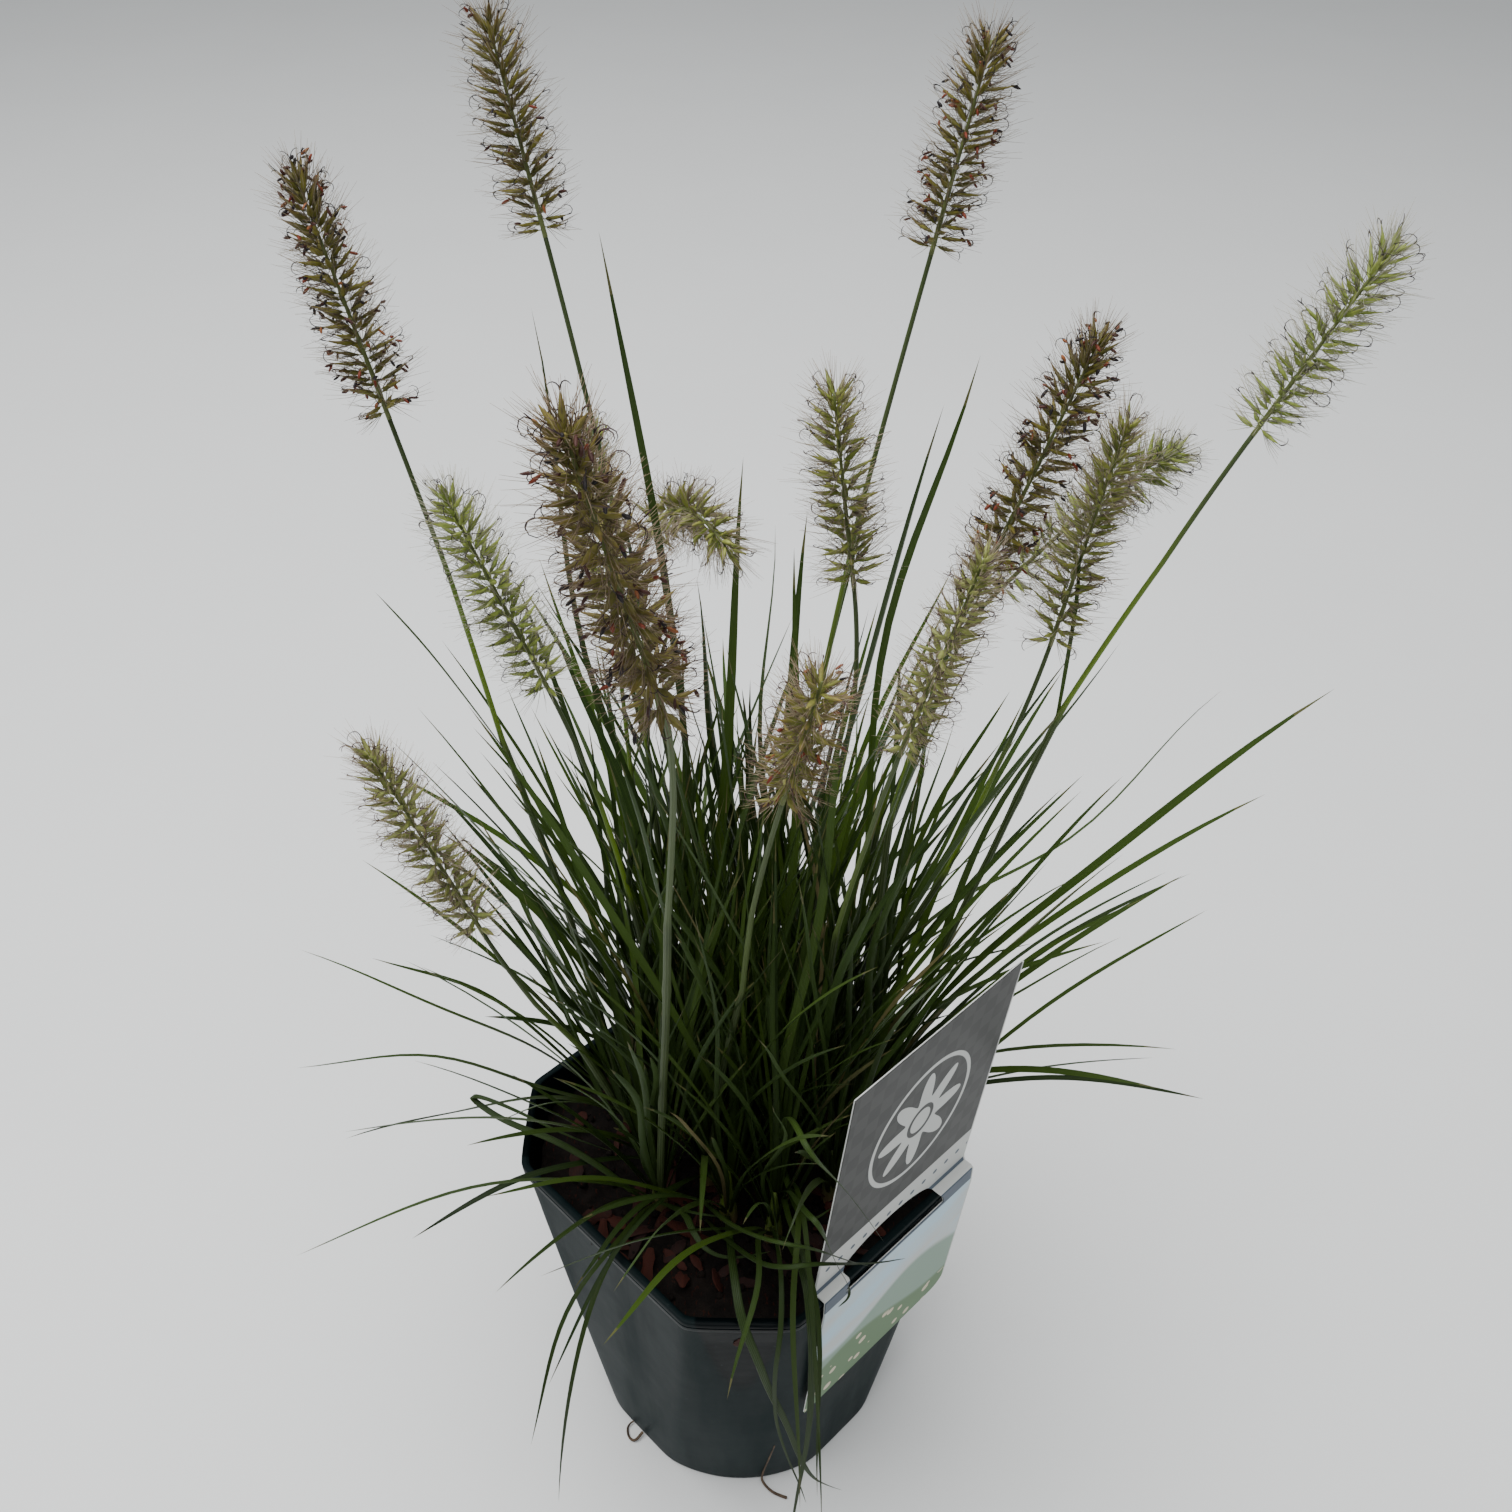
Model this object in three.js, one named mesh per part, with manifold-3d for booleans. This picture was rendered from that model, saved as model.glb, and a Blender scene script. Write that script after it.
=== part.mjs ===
// A potted dwarf fountain grass: a tuft of narrow arching leaves and bottlebrush flower heads,
// standing in potting soil in a tall square nursery pot, with a plain plant label hooked on its rim.
// Millimetres, +Z up. The origin is the centre of the pot's underside. The pot's cut corners face
// X and Y, and its flat sides face the diagonals. The front is towards -Y.

import * as THREE from "three";
import { mergeVertices } from "three/addons/utils/BufferGeometryUtils.js";
import Module from "manifold-3d";

// Pot
const POT_HEIGHT = 164;
const RIM_FLAT = 75; // half of the width across the flat sides, at the rim
const RIM_CORNER = 86; // from the axis to a cut corner, at the rim
const RIM_ROUND = 87.7; // radius that rounds the corners of the rim
const BAND_HEIGHT = 7; // the thick band along the rim
const BAND_STEP = 1.4; // how far the band stands out of the wall
const BASE_ROUND = 62;
const BASE_FLAT = 60;
const PANEL_FADE = 100; // height at which the flat corner panels run out into the round wall
const WALL = 1.8;
const FLOOR = 2.6;
const DRAIN_HOLES = 8;
const DRAIN_RADIUS = 4;
const DRAIN_RING = 44;
const DRAIN_SIDES = 8;
const ROUND_SIDES = 36;

// Soil
const SOIL_TOP = 147;
const SOIL_GAP = 0.35; // between the soil and the pot, and round each stem base
const SOIL_CELLS = 5;
const SOIL_RELIEF = 1.6;
const CHIPS = 7;
const CHIP_THICK = 3;
const CHIP_RISE = 0.6; // how far the middle of a chip lies above the soil
const CHIP_RING = 57; // the chips lie between this far from the axis and CHIP_SPREAD further
const CHIP_SPREAD = 9;
const CHIP_TURN = 75; // degrees to both sides of the front, where no stems stand

// Tuft
const TILLERS = 24;
const CROWN_RADIUS = 54;
const CROWN_PLACE = [0, 12]; // the crown's middle lies behind the pot's axis
const GOLDEN_ANGLE = 137.50776;
const SHEATH_RADIUS = 4.2;
const SHEATH_DEPTH = 12;
const SHEATH_RISE = 17;
const SHEATH_TAPER = 0.62;
const SHEATH_SIDES = 6;
const SHEATH_SHOULDER = 2; // height above the soil at which a stem base starts to taper
const BLADES_PER_TILLER = 9;
const BLADE_WIDTH = 3.3;
const BLADE_KEEL = 1.0;
const WIDEST_AT = 0.3; // share of a blade's length
const HOOK_FROM = 40; // degrees of arch beyond which a leaf hangs over
const HOOK_SPAN = 50;
const LINE_STEPS = 12; // straight pieces that a leaf or a culm is tested in
const ROOT_RING = 1.7; // how far from its tiller's axis a leaf is rooted
const ROOT_HEIGHT = 5;
const LONG_LEAF_REACH = 0.3; // share of the way out to its tip at which a long leaf is rooted
const TRIES = 120;
const LOOSE_STEP = 0.25; // how much further a long leaf's tip may shift at each new try
const STRAND_GAP = 0.2; // free space between leaves of two tillers
const BOX_ROOM = 4;
const SOIL_CLEAR = 4;
const RIM_NEAR = 0.93; // shares of the rim's half width between which no leaf comes near the wall
const RIM_FAR = 1.05;
const RIM_CLEAR = 3;
const LABEL_CLEAR = 5; // free space on both sides of the label's card
const LABEL_MARGIN = 4; // free space past the card's edges
const SEED = 20873;

// Flowering stems and their heads
const CULM_RADIUS = 1.0;
const CULM_STEPS = 7;
const CULM_REACH = 0.48; // share of the way out to its head at which a culm is rooted
const CULM_LOW = 0.27; // shares of the way out and of the rise at which its lower control lies
const CULM_RISE = 0.38;
const CULM_BEND = 0.28; // share of its length over which it turns to the head's direction
const HEAD_GAP = 0.3;
const HEAD_CLEAR = 12; // free space round a head's axis
const HEAD_OWNER = 100; // the first owner number of the heads, beyond those of the tillers
const RACHIS_RADIUS = 2;
const SPIKELETS = 21;
const SPIKELET_LENGTH = 11;
const SPIKELET_WIDTH = 4.6;

// Label
const LABEL_FROM = -34; // its side edges, along the rim
const LABEL_TO = 49;
const LABEL_LOW = 79;
const LABEL_HIGH = 284;
const LABEL_THICK = 0.8;
const LABEL_CORNER = 8;
const LABEL_SPREAD = 0.086; // how fast its lower part follows the wall inwards
const LABEL_LEAN = 0.092; // how fast its upper part leans outwards
const SLOT_FROM = -23;
const SLOT_TO = 32;
const SLOT_LOW = 159;
const SLOT_HIGH = 174;

// Each head: where its lowest spikelets and its tip are, the middle of its arch if it nods, the foot
// of its culm if that isn't below it, and the culm's bend if that isn't CULM_BEND.
const HEADS = [
  { base: [-62, 75, 490], tip: [-76, 88, 550], foot: [-10, 42] },
  { base: [-105, 30, 453], tip: [-123, 39, 522] },
  { base: [53, 70, 488], tip: [67, 82, 548], foot: [-16, 34] },
  { base: [143, 20, 456], tip: [171, 23, 513] },
  { base: [-61, 0, 377], tip: [-86, -2, 449] },
  { base: [-85, -30, 303], tip: [-111, -32, 382] },
  { base: [31, 10, 410], tip: [22, 15, 474] },
  { base: [-32, 55, 400], tip: [-3, 15, 411], over: [-20, 39, 431] },
  { base: [-49, 80, 357], tip: [-54, 90, 423], foot: [-14, 30] },
  { base: [-18, -110, 453], tip: [-32, -142, 541], foot: [-32, -20], bend: 0.1 },
  { base: [10, -60, 385], tip: [19, -74, 439], foot: [-12, -12] },
  { base: [66, 0, 415], tip: [91, -2, 497] },
  { base: [95, 20, 383], tip: [110, 30, 458] },
  { base: [82, 50, 382], tip: [131, 42, 438], over: [115, 46, 430] },
  { base: [44, -35, 382], tip: [61, -43, 457] },
];

// The leaves that stand out of the tuft: the tip, and how far the leaf arches, in degrees.
const LONG_LEAVES = [
  { tip: [-33, 40, 504], arch: 4 },
  { tip: [-67, 70, 469], arch: 8 },
  { tip: [-5, 40, 437], arch: 9 },
  { tip: [66, 40, 469], arch: 5 },
  { tip: [44, 0, 471], arch: 4 },
  { tip: [8, 60, 400], arch: 6 },
  { tip: [-99, 30, 374], arch: 12 },
  { tip: [-110, -10, 366], arch: 10 },
  { tip: [-136, 20, 286], arch: 16 },
  { tip: [-133, 0, 257], arch: 20 },
  { tip: [-129, 60, 207], arch: 28 },
  { tip: [-149, -20, 282], arch: 10 },
  { tip: [-166, -10, 208], arch: 26 },
  { tip: [-148, -25, 186], arch: 30 },
  { tip: [174, -10, 388], arch: 14 },
  { tip: [176, 20, 321], arch: 20 },
  { tip: [174, 60, 246], arch: 24 },
  { tip: [131, -20, 312], arch: 14 },
  { tip: [174, -8, 193], arch: 26 },
  { tip: [-83, -90, 190], arch: 36 },
  { tip: [-66, -105, 157], arch: 52 },
  { tip: [-74, -110, 125], arch: 62 },
  { tip: [-66, -115, 92], arch: 72 },
  { tip: [22, -118, 96], arch: 92 },
  { tip: [40, -118, 98], arch: 92 },
  { tip: [31, -118, 113], arch: 80 },
  { tip: [14, -74, 186], arch: 44 },
  { tip: [-58, -84, 182], arch: 38 },
  { tip: [-118, -62, 178], arch: 34 },
  { tip: [75, 10, 400], arch: 7 },
  { tip: [95, -10, 380], arch: 9 },
  { tip: [105, 30, 372], arch: 9 },
  { tip: [60, -20, 410], arch: 6 },
  { tip: [120, 0, 345], arch: 11 },
  { tip: [85, 50, 395], arch: 8 },
  { tip: [-75, 40, 390], arch: 9 },
  { tip: [-99, -40, 203], arch: 34 },
  { tip: [60, 120, 300], arch: 18 },
  { tip: [-70, 140, 270], arch: 22 },
  { tip: [0, 165, 240], arch: 24 },
  { tip: [90, 125, 205], arch: 30 },
  { tip: [-110, 105, 190], arch: 34 },
  { tip: [30, 128, 130], arch: 50 },
];

const wasm = await Module();
wasm.setup();

// Vectors are plain arrays of three numbers.
const plus = (a, b) => [a[0] + b[0], a[1] + b[1], a[2] + b[2]];
const minus = (a, b) => [a[0] - b[0], a[1] - b[1], a[2] - b[2]];
const times = (a, k) => [a[0] * k, a[1] * k, a[2] * k];
const dot = (a, b) => a[0] * b[0] + a[1] * b[1] + a[2] * b[2];
const cross = (a, b) => [
  a[1] * b[2] - a[2] * b[1],
  a[2] * b[0] - a[0] * b[2],
  a[0] * b[1] - a[1] * b[0],
];
const size = (a) => Math.sqrt(dot(a, a));
const unit = (a) => times(a, 1 / size(a));
const radians = (degrees) => (degrees * Math.PI) / 180;
const clamp = (value, low, high) => Math.min(Math.max(value, low), high);

// A repeatable draw between 0 and 1.
function seededDraw(seed) {
  let state = seed;
  return () => {
    state = (state * 16807) % 2147483647;
    return state / 2147483647;
  };
}

// Solids

function solid(geometry) {
  const bare = geometry.clone();
  bare.deleteAttribute("normal");
  bare.deleteAttribute("uv");
  const merged = mergeVertices(bare, 1e-4);
  return new wasm.Manifold(
    new wasm.Mesh({
      numProp: 3,
      vertProperties: new Float32Array(merged.attributes.position.array),
      triVerts: new Uint32Array(merged.index.array),
    }),
  );
}

function mesh(name, body, material) {
  const data = body.getMesh();
  const geometry = new THREE.BufferGeometry();
  const corners = new Float32Array(data.vertProperties);
  geometry.setAttribute("position", new THREE.BufferAttribute(corners, 3));
  geometry.setIndex(new THREE.BufferAttribute(new Uint32Array(data.triVerts), 1));
  geometry.computeVertexNormals();
  const made = new THREE.Mesh(geometry, material);
  made.name = name;
  return made;
}

const joined = (bodies) => wasm.Manifold.union(bodies);

// An upright cone stump with its bottom at a height, turned about the axis.
function stump(sides, lowRadius, highRadius, from, to, turn = 0) {
  const shape = new THREE.CylinderGeometry(highRadius, lowRadius, to - from, sides);
  shape.rotateX(Math.PI / 2);
  shape.rotateZ(turn);
  shape.translate(0, 0, (from + to) / 2);
  return solid(shape);
}

// A skin through rings of the same number of corners, closed by a flat root and a pointed tip.
function spindle(rings, root, tip) {
  const points = [root, ...rings.flat(), tip];
  const around = rings[0].length;
  const last = points.length - 1;
  const faces = [];
  for (let side = 0; side < around; side++) {
    const next = (side + 1) % around;
    faces.push(0, 1 + next, 1 + side);
    for (let ring = 0; ring < rings.length - 1; ring++) {
      const low = 1 + ring * around;
      const high = low + around;
      faces.push(low + side, low + next, high + side);
      faces.push(low + next, high + next, high + side);
    }
    const top = 1 + (rings.length - 1) * around;
    faces.push(top + side, top + next, last);
  }
  const geometry = new THREE.BufferGeometry();
  geometry.setAttribute("position", new THREE.Float32BufferAttribute(points.flat(), 3));
  geometry.setIndex(faces);
  return solid(geometry);
}

// Pot: a cone, a square cone and a second square cone across its corners, all cut by each other.

const EIGHTH = Math.PI / 4;
const ROOT2 = Math.SQRT2;

function wallForm(inset, from, to) {
  const share = (z) => z / POT_HEIGHT;
  const bodyFlat = RIM_FLAT - BAND_STEP;
  const bodyCorner = RIM_CORNER - BAND_STEP;
  const roundAt = (z) => BASE_ROUND + (RIM_ROUND - BAND_STEP - BASE_ROUND) * share(z) - inset;
  const flatAt = (z) => BASE_FLAT + (bodyFlat - BASE_FLAT) * share(z) - inset;
  const fade = roundAt(PANEL_FADE);
  const panelSlope = (bodyCorner - inset - fade) / (POT_HEIGHT - PANEL_FADE);
  const panelAt = (z) => fade + panelSlope * (z - PANEL_FADE);
  const cone = stump(ROUND_SIDES, roundAt(from), roundAt(to), from, to);
  const square = stump(4, flatAt(from) * ROOT2, flatAt(to) * ROOT2, from, to);
  const panels = stump(4, panelAt(from) * ROOT2, panelAt(to) * ROOT2, from, to, EIGHTH);
  return cone.intersect(square).intersect(panels);
}

function rimBand() {
  const from = POT_HEIGHT - BAND_HEIGHT;
  const cone = stump(ROUND_SIDES, RIM_ROUND, RIM_ROUND, from, POT_HEIGHT);
  const square = stump(4, RIM_FLAT * ROOT2, RIM_FLAT * ROOT2, from, POT_HEIGHT);
  const corners = stump(4, RIM_CORNER * ROOT2, RIM_CORNER * ROOT2, from, POT_HEIGHT, EIGHTH);
  return cone.intersect(square).intersect(corners);
}

function pot() {
  let body = joined([wallForm(0, 0, POT_HEIGHT), rimBand()]);
  body = body.subtract(wallForm(WALL, FLOOR, POT_HEIGHT + 2));
  for (let hole = 0; hole < DRAIN_HOLES; hole++) {
    const angle = (2 * Math.PI * (hole + 0.5)) / DRAIN_HOLES;
    const drill = stump(DRAIN_SIDES, DRAIN_RADIUS, DRAIN_RADIUS, -1, FLOOR + 1);
    const place = [DRAIN_RING * Math.cos(angle), DRAIN_RING * Math.sin(angle), 0];
    body = body.subtract(drill.translate(place));
  }
  return body;
}

// Soil: what the wall leaves free, with a lumpy top, bark chips half sunk in it and stem holes.

function soilHeight(x, y) {
  const long = Math.sin(x * 0.09 + 1.1) * Math.cos(y * 0.08 - 0.6);
  const short = Math.sin(x * 0.21 - y * 0.13) * 0.5;
  return SOIL_TOP + SOIL_RELIEF * (long + short);
}

function soilBlock() {
  const span = 2 * RIM_CORNER + 10;
  const shape = new THREE.BoxGeometry(span, span, SOIL_TOP, SOIL_CELLS, SOIL_CELLS, 1);
  shape.translate(0, 0, SOIL_TOP / 2 + FLOOR + SOIL_GAP);
  const place = shape.attributes.position;
  for (let i = 0; i < place.count; i++) {
    if (place.getZ(i) > SOIL_TOP / 2) place.setZ(i, soilHeight(place.getX(i), place.getY(i)));
  }
  return solid(shape);
}

function barkChip(draw) {
  const angle = radians(-90 + CHIP_TURN * (2 * draw() - 1));
  const far = CHIP_RING + CHIP_SPREAD * draw();
  const long = 9 + 8 * draw();
  const shape = new THREE.BoxGeometry(long, 4 + 3 * draw(), CHIP_THICK);
  shape.rotateX(0.5 * (draw() - 0.5));
  shape.rotateY(0.5 * (draw() - 0.5));
  shape.rotateZ(2 * Math.PI * draw());
  const x = far * Math.cos(angle);
  const y = far * Math.sin(angle);
  shape.translate(x, y, soilHeight(x, y) + CHIP_RISE);
  return solid(shape);
}

function soil(tillers) {
  const draw = seededDraw(SEED + 6);
  const lumps = [soilBlock()];
  for (let i = 0; i < CHIPS; i++) lumps.push(barkChip(draw));
  const inside = wallForm(WALL + SOIL_GAP, FLOOR + SOIL_GAP, POT_HEIGHT);
  let body = joined(lumps).intersect(inside);
  for (const tiller of tillers) {
    const wide = SHEATH_RADIUS + SOIL_GAP / Math.cos(Math.PI / SHEATH_SIDES);
    const from = SOIL_TOP - SHEATH_DEPTH - SOIL_GAP;
    const hole = stump(SHEATH_SIDES, wide, wide, from, SOIL_TOP + 8);
    body = body.subtract(hole.translate([tiller[0], tiller[1], 0]));
  }
  return body;
}

// Label: a card that lies outside the wall below the rim, steps over the rim and stands up inside
// it. The rim shows in a slot above the step. The profile gives how far out and how high.

const LABEL_OUTSIDE = RIM_FLAT + 0.45;
const LABEL_INSIDE = RIM_FLAT - BAND_STEP - WALL - 0.6 - LABEL_THICK;
const LABEL_STEP = POT_HEIGHT + 0.35; // where the card steps over the rim
const LABEL_BEND = POT_HEIGHT - BAND_HEIGHT - 1; // below this the card follows the wall

function labelOut(z) {
  if (z < LABEL_BEND) return LABEL_OUTSIDE - LABEL_SPREAD * (LABEL_BEND - z);
  if (z < LABEL_STEP) return LABEL_OUTSIDE;
  return LABEL_INSIDE + LABEL_LEAN * (z - LABEL_STEP);
}

function labelSheet() {
  const line = [
    [labelOut(LABEL_LOW), LABEL_LOW],
    [LABEL_OUTSIDE, LABEL_BEND],
    [LABEL_OUTSIDE, LABEL_STEP],
    [LABEL_INSIDE + 0.9, LABEL_STEP],
    [LABEL_INSIDE, LABEL_STEP + 2.4],
    [labelOut(LABEL_HIGH), LABEL_HIGH],
  ];
  const back = [
    [labelOut(LABEL_LOW) + LABEL_THICK, LABEL_LOW],
    [LABEL_OUTSIDE + LABEL_THICK, LABEL_BEND],
    [LABEL_OUTSIDE + LABEL_THICK, LABEL_STEP],
    [LABEL_OUTSIDE - 0.4, LABEL_STEP + LABEL_THICK],
    [LABEL_INSIDE + 1.7, LABEL_STEP + LABEL_THICK],
    [LABEL_INSIDE + LABEL_THICK, LABEL_STEP + 2.8],
    [labelOut(LABEL_HIGH) + LABEL_THICK, LABEL_HIGH],
  ];
  const corners = [...line, ...back.reverse()].map(([far, z]) => new THREE.Vector2(far, z));
  const shape = new THREE.Shape(corners);
  const span = LABEL_TO - LABEL_FROM;
  const sheet = new THREE.ExtrudeGeometry(shape, { depth: span, bevelEnabled: false });
  sheet.rotateX(Math.PI / 2);
  sheet.translate(0, LABEL_TO, 0);
  return solid(sheet);
}

// A bar through the card, outwards, with the outline of what is cut away.
function cardCut(shape, curveSegments) {
  const bar = new THREE.ExtrudeGeometry(shape, { depth: 60, bevelEnabled: false, curveSegments });
  bar.rotateX(Math.PI / 2);
  bar.rotateZ(Math.PI / 2);
  bar.translate(RIM_FLAT - 30, 0, 0);
  return solid(bar);
}

function label() {
  const slot = new THREE.Shape();
  slot.moveTo(SLOT_FROM, SLOT_LOW);
  slot.lineTo(SLOT_TO, SLOT_LOW);
  const middle = (SLOT_FROM + SLOT_TO) / 2;
  const half = (SLOT_TO - SLOT_FROM) / 2;
  slot.absellipse(middle, SLOT_LOW, half, SLOT_HIGH - SLOT_LOW, 0, Math.PI, false);
  const corner = new THREE.Shape();
  corner.moveTo(LABEL_TO + 1, LABEL_LOW - 1);
  corner.lineTo(LABEL_TO + 1, LABEL_LOW + LABEL_CORNER);
  corner.lineTo(LABEL_TO, LABEL_LOW + LABEL_CORNER);
  const centre = [LABEL_TO - LABEL_CORNER, LABEL_LOW + LABEL_CORNER];
  corner.absarc(...centre, LABEL_CORNER, 0, -Math.PI / 2, true);
  corner.lineTo(LABEL_TO - LABEL_CORNER, LABEL_LOW - 1);
  const card = labelSheet().subtract(cardCut(slot, 10)).subtract(cardCut(corner, 4));
  return card.rotate([0, 0, -45]);
}

// Tuft: stem bases on a spiral over the crown, each with a bundle of leaves and some with a culm.

function tillerPlaces() {
  const places = [];
  for (let i = 0; i < TILLERS; i++) {
    const far = CROWN_RADIUS * Math.sqrt((i + 0.5) / TILLERS);
    const angle = radians(i * GOLDEN_ANGLE);
    places.push([CROWN_PLACE[0] + far * Math.cos(angle), CROWN_PLACE[1] + far * Math.sin(angle)]);
  }
  return places;
}

// The place at a share of the way from the crown's middle to a point.
function onCrown(point, share) {
  return CROWN_PLACE.map((middle, k) => middle + share * (point[k] - middle));
}

// The free tiller nearest to a place.
function nearestTiller(tillers, free, place) {
  let best = -1;
  let least = Infinity;
  tillers.forEach(([x, y], i) => {
    const dx = x - place[0];
    const dy = y - place[1];
    const far = dx * dx + dy * dy;
    if (free[i] > 0 && far < least) {
      best = i;
      least = far;
    }
  });
  free[best] -= 1;
  return best;
}

function curvePoints(controls, steps) {
  const points = [];
  for (let i = 0; i <= steps; i++) {
    let level = controls;
    const t = i / steps;
    while (level.length > 1) {
      level = level.slice(1).map((p, j) => plus(times(level[j], 1 - t), times(p, t)));
    }
    points.push(level[0]);
  }
  return points;
}

// A leaf is a curve through its root, a control point and its tip. The control point lies half the
// leaf's length away, in the leaf's upright plane, nearer to the vertical by the arch angle. A leaf
// that arches by more than HOOK_FROM has it further away, so that it hangs over the rim.
function leafControls(root, tip, arch) {
  const reach = minus(tip, root);
  const long = size(reach);
  const lean = Math.acos(clamp(reach[2] / long, -1, 1)) - radians(arch);
  const flat = Math.hypot(reach[0], reach[1]);
  const way = [reach[0] / flat, reach[1] / flat];
  const half = (long / 2) * (1 + Math.max(0, arch - HOOK_FROM) / HOOK_SPAN);
  const side = half * Math.sin(lean);
  const middle = plus(root, [side * way[0], side * way[1], half * Math.cos(lean)]);
  return [root, middle, tip];
}

function bladeShare(t) {
  if (t < WIDEST_AT) return 0.62 + (0.38 * t) / WIDEST_AT;
  return 1 - Math.pow((t - WIDEST_AT) / (1 - WIDEST_AT), 1.6);
}

// The least distance between two straight pieces a-b and c-d.
function pieceGap(a, b, c, d) {
  const ab = minus(b, a);
  const cd = minus(d, c);
  const ca = minus(a, c);
  const aa = dot(ab, ab);
  const cc = dot(cd, cd);
  const ac = dot(ab, cd);
  const f = dot(cd, ca);
  const e = dot(ab, ca);
  const wide = aa * cc - ac * ac;
  let s = wide > 1e-9 ? clamp((ac * f - e * cc) / wide, 0, 1) : 0;
  const t = clamp((ac * s + f) / cc, 0, 1);
  s = clamp((ac * t - e) / aa, 0, 1);
  return size(minus(plus(ca, times(ab, s)), times(cd, t)));
}

// A thing that others keep clear of: its points and how thick it is at each.
function strand(points, thick, owner) {
  const low = [0, 1, 2].map((k) => Math.min(...points.map((p) => p[k])) - BOX_ROOM);
  const high = [0, 1, 2].map((k) => Math.max(...points.map((p) => p[k])) + BOX_ROOM);
  return { points, thick, owner, low, high };
}

function strandsMeet(one, other) {
  for (let k = 0; k < 3; k++) {
    if (one.low[k] > other.high[k] || other.low[k] > one.high[k]) return false;
  }
  for (let i = 0; i < one.points.length - 1; i++) {
    for (let j = 0; j < other.points.length - 1; j++) {
      const near = Math.max(one.thick[i], one.thick[i + 1]);
      const room = near + Math.max(other.thick[j], other.thick[j + 1]) + STRAND_GAP;
      const [a, b, c, d] = [one.points[i], one.points[i + 1], other.points[j], other.points[j + 1]];
      if (pieceGap(a, b, c, d) < room) return true;
    }
  }
  return false;
}

// How far out of the rim's octagon a point lies, and whether it is in the pot's wall or the label.
function rimReach([x, y]) {
  const flat = (Math.abs(x) + Math.abs(y)) / ROOT2 / RIM_FLAT;
  const corner = Math.max(Math.abs(x), Math.abs(y)) / RIM_CORNER;
  return Math.max(flat, corner);
}

function meetsHolder(point) {
  const reach = rimReach(point);
  const z = point[2];
  if (reach > RIM_NEAR && reach < RIM_FAR && z < POT_HEIGHT + RIM_CLEAR) return true;
  if (reach <= RIM_NEAR && z < SOIL_TOP + SOIL_CLEAR) return true;
  const out = (point[0] - point[1]) / ROOT2;
  const along = (point[0] + point[1]) / ROOT2;
  if (along < LABEL_FROM - LABEL_MARGIN || along > LABEL_TO + LABEL_MARGIN) return false;
  if (z < LABEL_LOW - LABEL_MARGIN || z > LABEL_HIGH + LABEL_MARGIN) return false;
  return Math.abs(out - labelOut(z)) < LABEL_CLEAR;
}

function leafMeetsHolder(points) {
  for (let i = 2; i < points.length; i++) {
    if (meetsHolder(points[i])) return true;
    if (meetsHolder(times(plus(points[i - 1], points[i]), 0.5))) return true;
  }
  return false;
}

function leafRoot(tiller, angle) {
  const x = tiller[0] + ROOT_RING * Math.cos(angle);
  const y = tiller[1] + ROOT_RING * Math.sin(angle);
  return [x, y, SOIL_TOP + ROOT_HEIGHT];
}

function culmControls(tiller, head) {
  const foot = [tiller[0], tiller[1], SOIL_TOP - 2];
  const reach = minus(head.base, foot);
  const way = unit(minus(head.over || head.tip, head.base));
  const low = plus(foot, [CULM_LOW * reach[0], CULM_LOW * reach[1], CULM_RISE * reach[2]]);
  const end = minus(head.base, times(way, HEAD_GAP));
  const bend = head.bend || CULM_BEND;
  return [foot, low, minus(end, times(way, bend * size(reach))), end];
}

const headControls = (head) => (head.over ? [head.base, head.over, head.tip] : [head.base, head.tip]);

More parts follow.
